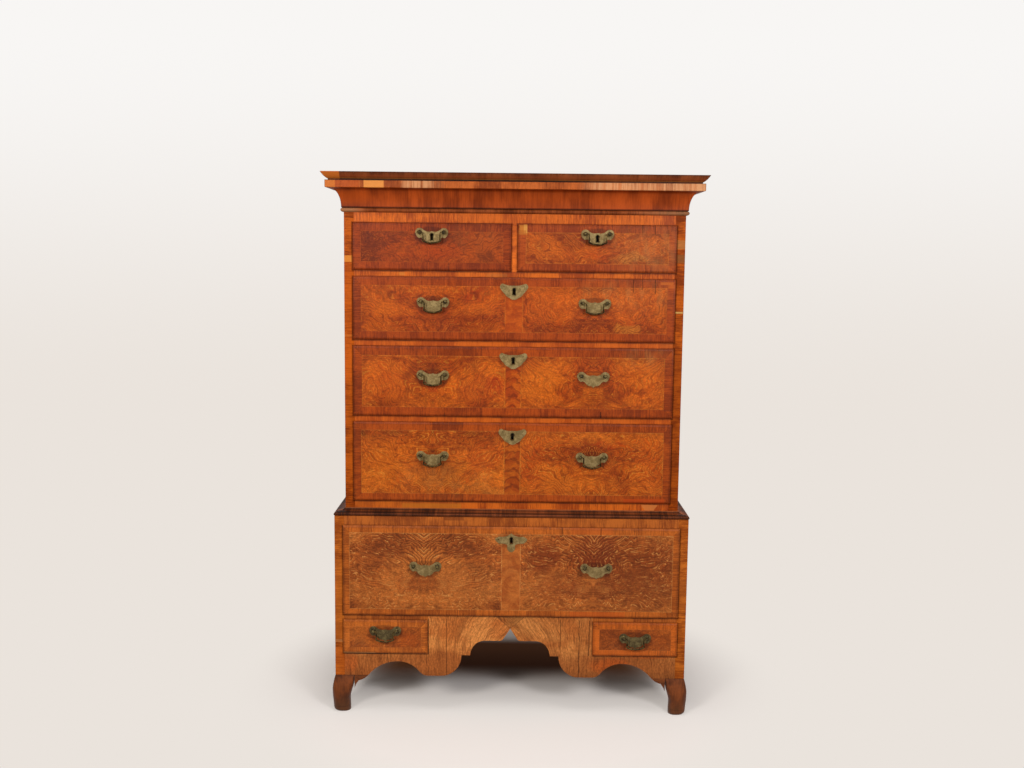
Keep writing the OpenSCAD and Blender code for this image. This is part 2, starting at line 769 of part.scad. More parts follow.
// Brass plate of a pull: a lobe round each post, a dipped crest and a pointed lower edge
module pull_plate_outline() {
  post_x = post_pitch / 2;
  inner = [post_x - lobe_r * cos(40), lobe_r * sin(40)];
  outer = [post_x + lobe_r * cos(-25), lobe_r * sin(-25)];
  polygon(both_sides(concat(
    bows([[0, 3, -4], [inner[0], inner[1], 0]]),
    arc([post_x, 0], lobe_r, lobe_r, 140, -25, 12),
    bows([[outer[0], outer[1], 1.5], [post_x + 2, -17, -2], [post_x - 11, -19, 1.5], [12, -29, -2],
          [0, -plate_drop, 0]]),
    [[0, -plate_drop]]
  )));
}

module pull_plate() {
  difference() {
    pull_plate_outline();
    for (s = [-1, 1]) translate([s * post_pitch / 2, 0]) circle(r = shank_r + post_hole / 2, $fn = round_fine);
  }
}

// Keyhole plate of a long drawer, drawn round its keyhole
module key_plate_outline() {
  polygon(both_sides(concat(
    bows([[0, 17, -2.5], [33, 23, 3], [41, 11, 1], [28, -6, 2], [12, -19, 1.5], [0, -24, 0]]),
    [[0, -24]]
  )));
}

// Keyhole plate of the deep drawer: a long band with a point above and a drop below
module deep_plate_outline() {
  polygon(both_sides(concat(
    bows([[0, 22, -1.5], [18, 12.5, -1], [34, 12, 1.5], [48, 4, 2], [34, -9, -1.5], [13, -12, -1.5],
          [12, -22, 3], [0, -35, 0]]),
    [[0, -35]]
  )));
}

// A plate with its keyhole and the raised rim round it
module key_plate(y) {
  difference() {
    union() {
      upright(y, plate_t) children();
      upright(y - key_rim_t, key_rim_t + plate_t / 2) keyhole(key_rim_w);
    }
    upright(y - key_rim_t - 1, plate_t + key_rim_t + 2) keyhole();
  }
}

// Turned post: nut side down, front up, with its foot on the plate at z = 0
module post() {
  ball_z = post_reach - plate_t;
  end_z = -proud - front_t - plate_t - nut_t - 1;
  neck_r = 3;
  difference() {
    rotate_extrude($fn = round_fine) polygon(concat(
      [[0, end_z], [shank_r, end_z], [shank_r, 0], [foot_r, 0], [foot_r, 1.2], [foot_r - 1, 2.2],
       [neck_r + 0.4, 3], [neck_r, ball_z - ball_r - 0.6]],
      [for (a = [-60:20:80]) [ball_r * cos(a), ball_z + ball_r * sin(a)]],
      [[0, ball_z + ball_r]]));
    translate([-ball_r - 1, 0, ball_z]) rotate([0, 90, 0])
      cylinder(r = bail_pin_r + pin_fit, h = 2 * ball_r + 2, $fn = round_fine);
  }
}

module nut() {
  difference() {
    cylinder(r = nut_r, h = nut_t, $fn = round_fine);
    translate([0, 0, -1]) cylinder(r = shank_r + seat_gap, h = nut_t + 2, $fn = round_fine);
  }
}

// Brasses of a drawer. Its keyhole is "none", "in_pull", on a "plate" of its own or in a long "band"
module drawer_brasses(d, pulls, key_place) {
  y = veneer_y(d) - plate_t;
  color(brass) {
    for (p = pulls) translate([mid_x(d) + p[0], 0, low_z(d) + face_h(d) / 2 + p[1]]) {
      if (key_place == "in_pull")
        translate([0, 0, -key_below_posts]) key_plate(y) translate([0, key_below_posts]) pull_plate();
      else
        upright(y, plate_t) pull_plate();
      for (s = [-1, 1]) translate([s * post_pitch / 2, 0, 0]) {
        translate([0, y - seat_gap, 0]) rotate([90, 0, 0]) post();
        translate([0, board_back(d) + seat_gap, 0]) rotate([-90, 0, 0]) nut();
      }
    }
    if (key_place == "plate") translate([mid_x(d), 0, key_z(d)]) key_plate(y) key_plate_outline();
    if (key_place == "band") translate([mid_x(d), 0, key_z(d)]) key_plate(y) deep_plate_outline();
  }
}

module lock_case(d) {
  x = mid_x(d);
  top = box_z(d) + box_h(d);
  y = board_back(d);
  by = y - bolt_back;
  color(iron) difference() {
    union() {
      board(x - case_w / 2, y - case_d, top - case_h, case_w, case_d, case_h - lock_plate_t / 2);
      board(x - lock_plate_w / 2, y - lock_plate_t, top - lock_plate_h,
            lock_plate_w, lock_plate_t, lock_plate_h);
      board(x - lock_plate_w / 2, y - selvage_d, top - lock_plate_t, lock_plate_w, selvage_d, lock_plate_t);
    }
    board(x - bolt_w / 2 - bolt_fit, by - bolt_t / 2 - bolt_fit, top - bolt_h - bolt_low - 2 * bolt_fit,
          bolt_w + 2 * bolt_fit, bolt_t + 2 * bolt_fit, bolt_h + bolt_low + 2 * bolt_fit + 1);
    key_cut(d, y - case_d - 1, key_pocket + 1);
  }
}

module lock_bolt(d) {
  top = box_z(d) + box_h(d);
  color(iron) board(mid_x(d) - bolt_w / 2, board_back(d) - bolt_back - bolt_t / 2, top - bolt_h - bolt_low,
                    bolt_w, bolt_t, bolt_h);
}

// Centre line of the right half of a bail, from its outer end to the middle of the grip
bail_leg_x = post_pitch / 2 - 10.5;
function bail_half() = let (
    elbow_r = 5,
    flare_r = 14,
    flare_a = 20,
    corner_r = 3.6,
    sag_a = 22,
    e = [bail_leg_x + flare_r * (1 - cos(flare_a)), -bail_leg - flare_r * sin(flare_a)],
    c = [e[0] - corner_r * cos(flare_a), e[1] - corner_r * sin(flare_a)],
    q = [c[0] + corner_r * cos(sag_a - 90), c[1] + corner_r * sin(sag_a - 90)],
    sag_r = q[0] / sin(sag_a)
  ) concat(
    [[post_pitch / 2 + ball_r + 2.4, 0], [post_pitch / 2 + ball_r + 0.4, 0]],
    arc([bail_leg_x + elbow_r, -elbow_r], elbow_r, elbow_r, 90, 180, 4),
    arc([bail_leg_x + flare_r, -bail_leg], flare_r, flare_r, 180, 180 + flare_a, 2),
    [for (i = [1:4]) c + corner_r * [cos(flare_a - (90 + flare_a - sag_a) * i / 4),
                                     sin(flare_a - (90 + flare_a - sag_a) * i / 4)]],
    [for (i = [1:4]) let (a = sag_a * (1 - i / 4)) [sag_r * sin(a), q[1] + sag_r * (cos(sag_a) - cos(a))]]
  );

// Radius of the bail at point i of its half line: a riveted end, a thin pin, then a swelling grip
function bail_r(i, p) =
  i == 0 ? bail_pin_r + 0.7 :
  p[0] > bail_leg_x + 4.9 ? bail_pin_r :
  bail_pin_r + (bail_grip_r - bail_pin_r) * min(1, -p[1] / bail_leg);

module bail_body() {
  half = bail_half();
  m = len(half);
  line = concat(half, [for (i = [m - 2:-1:0]) [-half[i][0], half[i][1]]]);
  radius = [for (i = [0:m - 1]) bail_r(i, half[i])];
  r = concat(radius, [for (i = [m - 2:-1:0]) radius[i]]);
  n = len(line);
  sides = 10;
  pts = [for (i = [0:n - 1]) let (
           t = line[min(n - 1, i + 1)] - line[max(0, i - 1)],
           u = t / norm(t))
         for (k = [0:sides - 1]) let (a = 360 * k / sides)
           [line[i][0] - r[i] * cos(a) * u[1], r[i] * sin(a), line[i][1] + r[i] * cos(a) * u[0]]];
  walls = [for (i = [0:n - 2], k = [0:sides - 1])
             let (j = (k + 1) % sides, a = i * sides, b = (i + 1) * sides)
             each [[a + k, a + j, b + j], [a + k, b + j, b + k]]];
  caps = [[for (k = [sides - 1:-1:0]) k], [for (k = [0:sides - 1]) (n - 1) * sides + k]];
  polyhedron(points = pts, faces = concat(walls, caps), convexity = 6);
}

module bail(d, p) {
  color(brass) translate([mid_x(d) + p[0], veneer_y(d) - post_reach, low_z(d) + face_h(d) / 2 + p[1]])
    bail_body();
}

// Pulls of each drawer: distance from its middle, and height above its middle
short_pulls = [[0, short_h / 2 - key_drop + key_below_posts]];
long_pulls = [[-pull_x, pull_rise], [pull_x, pull_rise]];
deep_pulls = [[-deep_pull_x, deep_pull_rise], [deep_pull_x, deep_pull_rise]];
small_left_pulls = [[0, small_rise_left]];
small_right_pulls = [[0, small_rise_right]];

upper_sides();
top_board();
bottom_board();
upper_backboards();
upper_rails();
upper_dustboards();
cornice();
stand_sides();
stand_backboards();
stand_rails();
stand_dustboards();
apron();
waist_moulding();
feet();
knee_brackets();

drawer_face(short_left, short_pulls, true);  // short_left_face
drawer_box(short_left, short_pulls, true);  // short_left_box
drawer_brasses(short_left, short_pulls, "in_pull");  // short_left_brasses
lock_case(short_left);  // short_left_lock
lock_bolt(short_left);  // short_left_bolt
bail(short_left, short_pulls[0]);  // short_left_bail

drawer_face(short_right, short_pulls, true);  // short_right_face
drawer_box(short_right, short_pulls, true);  // short_right_box
drawer_brasses(short_right, short_pulls, "in_pull");  // short_right_brasses
lock_case(short_right);  // short_right_lock
lock_bolt(short_right);  // short_right_bolt
bail(short_right, short_pulls[0]);  // short_right_bail

drawer_face(upper_long, long_pulls, true);  // upper_long_face
drawer_box(upper_long, long_pulls, true);  // upper_long_box
drawer_brasses(upper_long, long_pulls, "plate");  // upper_long_brasses
lock_case(upper_long);  // upper_long_lock
lock_bolt(upper_long);  // upper_long_bolt
bail(upper_long, long_pulls[0]);  // upper_long_bail_left
bail(upper_long, long_pulls[1]);  // upper_long_bail_right

drawer_face(middle_long, long_pulls, true);  // middle_long_face
drawer_box(middle_long, long_pulls, true);  // middle_long_box
drawer_brasses(middle_long, long_pulls, "plate");  // middle_long_brasses
lock_case(middle_long);  // middle_long_lock
lock_bolt(middle_long);  // middle_long_bolt
bail(middle_long, long_pulls[0]);  // middle_long_bail_left

drawer_face(lower_long, long_pulls, true);  // lower_long_face
drawer_box(lower_long, long_pulls, true);  // lower_long_box
drawer_brasses(lower_long, long_pulls, "plate");  // lower_long_brasses
lock_case(lower_long);  // lower_long_lock
lock_bolt(lower_long);  // lower_long_bolt
bail(lower_long, long_pulls[0]);  // lower_long_bail_left
bail(lower_long, long_pulls[1]);  // lower_long_bail_right

drawer_face(deep, deep_pulls, true);  // deep_face
drawer_box(deep, deep_pulls, true);  // deep_box
drawer_brasses(deep, deep_pulls, "band");  // deep_brasses
lock_case(deep);  // deep_lock
lock_bolt(deep);  // deep_bolt

drawer_face(small_left, small_left_pulls, false);  // small_left_face
drawer_box(small_left, small_left_pulls, false);  // small_left_box
drawer_brasses(small_left, small_left_pulls, "none");  // small_left_brasses
bail(small_left, small_left_pulls[0]);  // small_left_bail

drawer_face(small_right, small_right_pulls, false);  // small_right_face
drawer_box(small_right, small_right_pulls, false);  // small_right_box
drawer_brasses(small_right, small_right_pulls, "none");  // small_right_brasses
bail(small_right, small_right_pulls[0]);  // small_right_bail
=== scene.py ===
import json
import math
import bmesh
import bpy
from mathutils import Matrix, Vector


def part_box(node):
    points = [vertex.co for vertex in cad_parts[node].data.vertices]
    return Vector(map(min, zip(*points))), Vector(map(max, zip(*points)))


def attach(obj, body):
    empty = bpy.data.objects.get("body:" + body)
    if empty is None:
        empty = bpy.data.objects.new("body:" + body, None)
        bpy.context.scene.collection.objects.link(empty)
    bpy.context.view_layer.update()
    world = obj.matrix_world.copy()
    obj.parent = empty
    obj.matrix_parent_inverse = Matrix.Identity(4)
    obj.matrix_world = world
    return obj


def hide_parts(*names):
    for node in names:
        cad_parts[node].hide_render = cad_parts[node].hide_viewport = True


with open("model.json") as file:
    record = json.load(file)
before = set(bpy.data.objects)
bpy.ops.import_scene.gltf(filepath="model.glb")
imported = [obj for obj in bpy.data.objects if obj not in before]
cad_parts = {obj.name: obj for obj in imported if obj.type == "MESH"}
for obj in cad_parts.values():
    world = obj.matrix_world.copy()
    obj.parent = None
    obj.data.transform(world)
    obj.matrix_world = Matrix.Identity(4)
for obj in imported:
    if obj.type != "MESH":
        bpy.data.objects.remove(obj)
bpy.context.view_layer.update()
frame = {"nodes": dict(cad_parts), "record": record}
bodyOfNode = {name: body for body, names in frame["record"]["behaviour"]["bodies"].items() for name in names}
print("frame loaded:", len(frame["nodes"]), "nodes")


def tone(*levels):  # a colour as a screen shows it, 0 to 255, in Blender's linear numbers
    return tuple(c / 3294.6 if c <= 10.3 else ((c / 255 + 0.055) / 1.055) ** 2.4 for c in levels) + (1,)


# Camera and light

camera = dict(
    place=(0.0054, -3.4398, 1.364),
    pitch=-0.1148,  # radians, below the horizon
    yaw=-0.0026,
    roll=0.0112,
    lens=38.67,
)


def setCamera(settings):
    pitch, yaw, roll = settings["pitch"], settings["yaw"], settings["roll"]
    ahead = Vector((math.sin(yaw) * math.cos(pitch), math.cos(yaw) * math.cos(pitch), math.sin(pitch)))
    right = Vector((math.cos(yaw), -math.sin(yaw), 0))
    up = right.cross(ahead)
    turnedRight = math.cos(roll) * right + math.sin(roll) * up
    turnedUp = -math.sin(roll) * right + math.cos(roll) * up
    data = bpy.data.cameras.new("camera")
    data.lens = settings["lens"]
    data.clip_end = 60
    body = bpy.data.objects.new("camera", data)
    bpy.context.collection.objects.link(body)
    turn = Matrix((turnedRight, turnedUp, -ahead)).transposed().to_4x4()
    body.matrix_world = Matrix.Translation(settings["place"]) @ turn
    bpy.context.scene.camera = body


def softbox(name, place, aim, size, energy, colour):
    data = bpy.data.lights.new(name, "AREA")
    data.shape = "SQUARE"
    data.size = size
    data.energy = energy
    data.color = colour
    lamp = bpy.data.objects.new(name, data)
    bpy.context.collection.objects.link(lamp)
    lamp.location = place
    lamp.rotation_mode = "QUATERNION"
    lamp.rotation_quaternion = (Vector(aim) - Vector(place)).to_track_quat("-Z", "Y")
    lamp.visible_camera = False


studio = dict(
    floorColour=(0.95, 0.895, 0.86, 1),  # as the camera sees it
    floorBounce=(0.36, 0.34, 0.32, 1),  # for the light that it throws back
    floorPaintedShade=(0.17, 0.06, 0.022, 1),  # painted shade: a dark floor colour under the stand, for its deep shadow there
    floorPaintedShadeEnds=(0.55, 0.22, 0.08, 1),
    wallLow=(234, 227, 220),
    wallHigh=(248, 246, 244),
    surround=tone(236, 229, 222),
    wallBounce=0.32,
    worldStrength=0.27,
    roomGloss=0.35,  # how much of the pale room polished wood and brass show
    keyPlace=(1.5, -2.9, 2.1),
    keySize=0.65,
    keyEnergy=46,
    topPlace=(0, -1, 3.6),
    topSize=1.5,
    topEnergy=34,
)

setCamera(camera)
keyX, keyY, keyZ = studio["keyPlace"]
for side, name, colour in (-1, "keyLeft", (1, 0.975, 0.94)), (1, "keyRight", (0.98, 0.985, 1)):
    softbox(name, (side * keyX, keyY, keyZ), (0, -0.1, 0.8), studio["keySize"], studio["keyEnergy"], colour)
softbox("topLight", studio["topPlace"], (0, -0.5, 0), studio["topSize"], studio["topEnergy"], (1, 0.99, 0.98))
bpy.context.scene.view_settings.view_transform = "Standard"


# A node's output, which takes part in sums
class signal:
    def __init__(self, desk, socket):
        self.desk, self.socket = desk, socket

    def __add__(self, other):
        return self.desk.maths("ADD", self, other)

    def __sub__(self, other):
        return self.desk.maths("SUBTRACT", self, other)

    def __rsub__(self, other):
        return self.desk.maths("SUBTRACT", other, self)

    def __mul__(self, other):
        return self.desk.maths("MULTIPLY", self, other)

    def __abs__(self):
        return self.desk.maths("ABSOLUTE", self)

    __radd__, __rmul__ = __add__, __mul__


# One material's nodes, with a short word for each kind of node that the finishes below need
class bench:
    def __init__(self, name):
        self.material = bpy.data.materials.new(name)
        self.material.use_nodes = True
        self.tree = self.material.node_tree
        self.shader = next(n for n in self.tree.nodes if n.type == "BSDF_PRINCIPLED")
        where = self.tree.nodes.new("ShaderNodeTexCoord").outputs
        self.place = where["Object"]
        self.x, self.y, self.z = self.split(self.place)
        self.facing = [abs(part) for part in self.split(where["Normal"])]

    def feed(self, socket, value):
        value = value.socket if isinstance(value, signal) else value
        if isinstance(value, bpy.types.NodeSocket):
            self.tree.links.new(value, socket)
        elif isinstance(value, tuple) and len(value) == 3:
            socket.default_value = tone(*value)
        else:
            socket.default_value = value

    def make(self, kind, *values, out=0, **settings):  # None leaves an input as it is
        node = self.tree.nodes.new("ShaderNode" + kind)
        for key, value in settings.items():
            setattr(node, key, value)
        for socket, value in zip(node.inputs, values):
            if value is not None:
                self.feed(socket, value)
        return signal(self, node.outputs[out])

    def split(self, value):
        node = self.tree.nodes.new("ShaderNodeSeparateXYZ")
        self.feed(node.inputs[0], value)
        return [signal(self, part) for part in node.outputs]

    def maths(self, operation, *values):
        return self.make("Math", *values, operation=operation)

    def most(self, a, b):
        return self.maths("MAXIMUM", a, b)

    def least(self, a, b):
        return self.maths("MINIMUM", a, b)

    def over(self, a, edge):  # 1 where a is over the edge
        return self.maths("GREATER_THAN", a, edge)

    def rise(self, value, low, high, start=0, end=1):  # a smooth rise from start to end
        return self.make("MapRange", value, low, high, start, end, interpolation_type="SMOOTHSTEP")

    def blend(self, factor, a, b):  # a number between two numbers
        return self.make("Mix", factor, None, a, b, data_type="FLOAT")

    def mix(self, factor, a, b, how="MIX"):  # a colour between two colours
        return self.make("Mix", factor, *[None] * 5, a, b, out=2, data_type="RGBA", blend_type=how)

    def glaze(self, colour, tint):
        return self.mix(1, colour, tint, "MULTIPLY")

    def shade(self, colour, amount):  # a colour made lighter or darker by a number
        return self.make("VectorMath", colour, None, None, amount, operation="SCALE")

    def lay(self, where, below, above):  # one wood over another, each a colour and a height
        return self.mix(where, below[0], above[0]), self.blend(where, below[1], above[1])

    def dim(self, colour, where, amount):
        return self.shade(colour, self.blend(where, 1, amount))

    def vary(self, colour, value, low, high, start, end):
        return self.shade(colour, self.rise(value, low, high, start, end))

    def noise(self, where, scale, detail=2, rough=0.5, twist=0, hue=False):
        node = self.tree.nodes.new("ShaderNodeTexNoise")
        place = self.make("CombineXYZ", *where) if isinstance(where, tuple) else where
        self.feed(node.inputs["Vector"], place)
        for part, value in ("Scale", scale), ("Detail", detail), ("Roughness", rough), ("Distortion", twist):
            node.inputs[part].default_value = value
        return signal(self, node.outputs[1 if hue else 0])

    def chance(self, *where):  # an even random number for each whole-numbered place
        return self.make("TexWhiteNoise", self.make("CombineXYZ", *where), noise_dimensions="3D")

    def span(self, value, low, high, soft=0.0008):  # 1 between low and high
        half = (high - low) / 2
        return self.rise(abs(value - (low + high) / 2), half + soft, half - soft)

    def area(self, u, v, patch, soft=0.0008):  # 1 inside a patch given in millimetres: u0, u1, v0, v1
        u0, u1, v0, v1 = (part / 1000 for part in patch)
        return self.span(u, u0, u1, soft) * self.span(v, v0, v1, soft)

    def inlay(self, colour, u, v, patches, where=1):  # patches of other wood
        for *patch, paint, amount in patches:
            colour = self.mix(self.area(u, v, patch) * (where * amount), colour, paint)
        return colour

    def blot(self, u, v, place, outer=1.6, inner=0.1):
        # 1 in the middle of a soft round patch given in millimetres: middle u and v, half width, half height
        middleU, middleV, halfU, halfV = (part / 1000 for part in place)
        awayU, awayV = (u - middleU) * (1 / halfU), (v - middleV) * (1 / halfV)
        return self.rise(awayU * awayU + awayV * awayV, outer, inner)

    def cracks(self, u, v, places, wander, detail, sway, soft):
        # crooked lines in millimetres: u, v0, v1, half width
        gaps = 0
        for at, v0, v1, width in places:
            crooked = u + (self.noise((v * wander, at * 0.1), 1, detail) - 0.5) * sway
            gaps = self.most(gaps, self.area(crooked, v, (at - width, at + width, v0, v1), soft))
        return gaps

    def worn(self, smooth, dull, scale, rough=0.6):  # an uneven roughness
        return self.rise(self.noise(self.place, scale, 3, rough), 0.3, 0.7, smooth, dull)

    def finish(self, colour, rough, height=None, depth=0.0003, strength=1, gloss=0.17):
        self.feed(self.shader.inputs["Base Color"], colour)
        self.feed(self.shader.inputs["Roughness"], rough)
        self.shader.inputs["Specular IOR Level"].default_value = gloss
        if height is not None:
            bump = self.tree.nodes.new("ShaderNodeBump")
            bump.inputs["Strength"].default_value = strength
            bump.inputs["Distance"].default_value = depth
            self.feed(bump.inputs["Height"], height)
            self.feed(self.shader.inputs["Normal"], bump.outputs[0])
        return self.material


def newPiece(name, work, material):
    mesh = bpy.data.meshes.new(name)
    work.to_mesh(mesh)
    work.free()
    mesh.shade_smooth()
    mesh.materials.append(material)
    piece = bpy.data.objects.new(name, mesh)
    bpy.context.collection.objects.link(piece)
    return piece


# Floor and backdrop

def sweepBackdrop(material):  # a floor that bends up into a wall behind
    bend = dict(cent=(0, 3.5, 1.2), axis=(1, 0, 0), angle=math.pi / 2, steps=16)
    grid = bmesh.new()
    grown = [grid.edges.new([grid.verts.new((x, -6.5, 0)) for x in (-8, 8)])]
    for depth, height in (10, 0), (0, 6):
        grown = bmesh.ops.extrude_edge_only(grid, edges=grown)["geom"]
        ends = [g for g in grown if isinstance(g, bmesh.types.BMVert)]
        bmesh.ops.translate(grid, verts=ends, vec=(0, depth, height))
        grown = [g for g in grown if isinstance(g, bmesh.types.BMEdge)]
        if depth:
            turned = bmesh.ops.spin(grid, geom=grown, **bend)
            grown = [g for g in turned["geom_last"] if isinstance(g, bmesh.types.BMEdge)]
    bmesh.ops.recalc_face_normals(grid, faces=grid.faces)
    return newPiece("backdrop", grid, material)


def backdropPaper(settings):
    b = bench("backdropPaper")
    rays = b.tree.nodes.new("ShaderNodeLightPath").outputs
    seen = b.most(rays["Is Camera Ray"], b.most(rays["Is Glossy Ray"], rays["Is Transmission Ray"]))
    distance = b.maths("SQRT", b.x * b.x + b.y * b.y)
    far = b.most(b.rise(distance, 0.38, 0.9), b.rise(b.y, 0.02, -0.26) * 0.5)
    fromMiddle = abs(b.x)
    behind = b.y - b.rise(fromMiddle, 0.34, 0.2, 0, 0.07)  # the painted shade reaches further back behind the middle arch, which shows the floor behind the stand
    # painted shade: the floor is given a dark warm colour under the stand
    under = b.rise(fromMiddle, 0.56, 0.42) * b.rise(b.y, -0.04, 0.14) * b.rise(behind, 0.35, 0.26)
    shaded = b.mix(b.rise(fromMiddle, 0.16, 0.36), settings["floorPaintedShade"], settings["floorPaintedShadeEnds"])
    paper = b.mix(under, settings["floorColour"], shaded)
    b.finish(b.mix(seen, settings["floorBounce"], paper), 0.9, gloss=0.1)
    glow = b.tree.nodes.new("ShaderNodeEmission")
    b.feed(glow.inputs["Color"], b.mix(b.rise(b.z, 0.2, 3), settings["wallLow"], settings["wallHigh"]))
    b.feed(glow.inputs["Strength"], b.blend(seen, settings["wallBounce"], 1))
    mix = b.tree.nodes.new("ShaderNodeMixShader")
    b.feed(mix.inputs[0], far)
    b.tree.links.new(b.shader.outputs[0], mix.inputs[1])
    b.tree.links.new(glow.outputs[0], mix.inputs[2])
    out = next(n for n in b.tree.nodes if n.type == "OUTPUT_MATERIAL")
    b.tree.links.new(mix.outputs[0], out.inputs["Surface"])
    return b.material


def surroundLight(settings):
    world = bpy.data.worlds.new("studio")
    bpy.context.scene.world = world
    world.use_nodes = True
    tree = world.node_tree
    out = next(n for n in tree.nodes if n.type == "OUTPUT_WORLD")
    rays = tree.nodes.new("ShaderNodeLightPath").outputs
    light = next(n for n in tree.nodes if n.type == "BACKGROUND")
    light.inputs["Color"].default_value = (1, 0.985, 0.965, 1)
    light.inputs["Strength"].default_value = settings["worldStrength"]
    result = light.outputs[0]
    room = {"Is Glossy Ray": settings["roomGloss"], "Is Transmission Ray": 1, "Is Camera Ray": 1}
    for ray, strength in room.items():
        shown = tree.nodes.new("ShaderNodeBackground")
        shown.inputs["Color"].default_value = settings["surround"]
        shown.inputs["Strength"].default_value = strength
        mix = tree.nodes.new("ShaderNodeMixShader")
        tree.links.new(rays[ray], mix.inputs[0])
        tree.links.new(result, mix.inputs[1])
        tree.links.new(shown.outputs[0], mix.inputs[2])
        result = mix.outputs[0]
    tree.links.new(result, out.inputs["Surface"])


sweepBackdrop(backdropPaper(studio))
surroundLight(studio)
print("camera, lights and backdrop set")


# Pieces: a clean copy of a CAD node, which stands for the node

def cleanCopy(node, material, flat):
    source = frame["nodes"][node]
    work = bmesh.new()
    work.from_mesh(source.data)
    bmesh.ops.remove_doubles(work, verts=work.verts, dist=0.00002)
    bmesh.ops.dissolve_degenerate(work, edges=work.edges, dist=0.00002)
    bmesh.ops.dissolve_limit(work, angle_limit=math.radians(flat), verts=work.verts, edges=work.edges)
    piece = newPiece(node + "_dressed", work, material)
    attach(piece, bodyOfNode[node])
    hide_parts(node)
    source.material_slots[0].material.name.split(".")[0]
    return piece


def easedCopy(node, material, ease, sharp=32):
    piece = cleanCopy(node, material, 0.6)
    piece.data.set_sharp_from_angle(angle=math.radians(sharp))
    eased = piece.modifiers.new("easedEdges", "BEVEL")
    eased.width = ease
    eased.segments = 2
    eased.limit_method = "ANGLE"
    eased.angle_limit = math.radians(sharp)
    evened = piece.modifiers.new("evenedNormals", "WEIGHTED_NORMAL")  # keeps wide faces flat to the light
    evened.keep_sharp = True


# Old varnish, which tints all the veneer below it

varnish = dict(upper=(0.82, 0.67, 0.27, 1), stand=(1, 0.93, 0.62, 1), cornice=(0.92, 0.78, 0.5, 1))


# Veneered drawer fronts

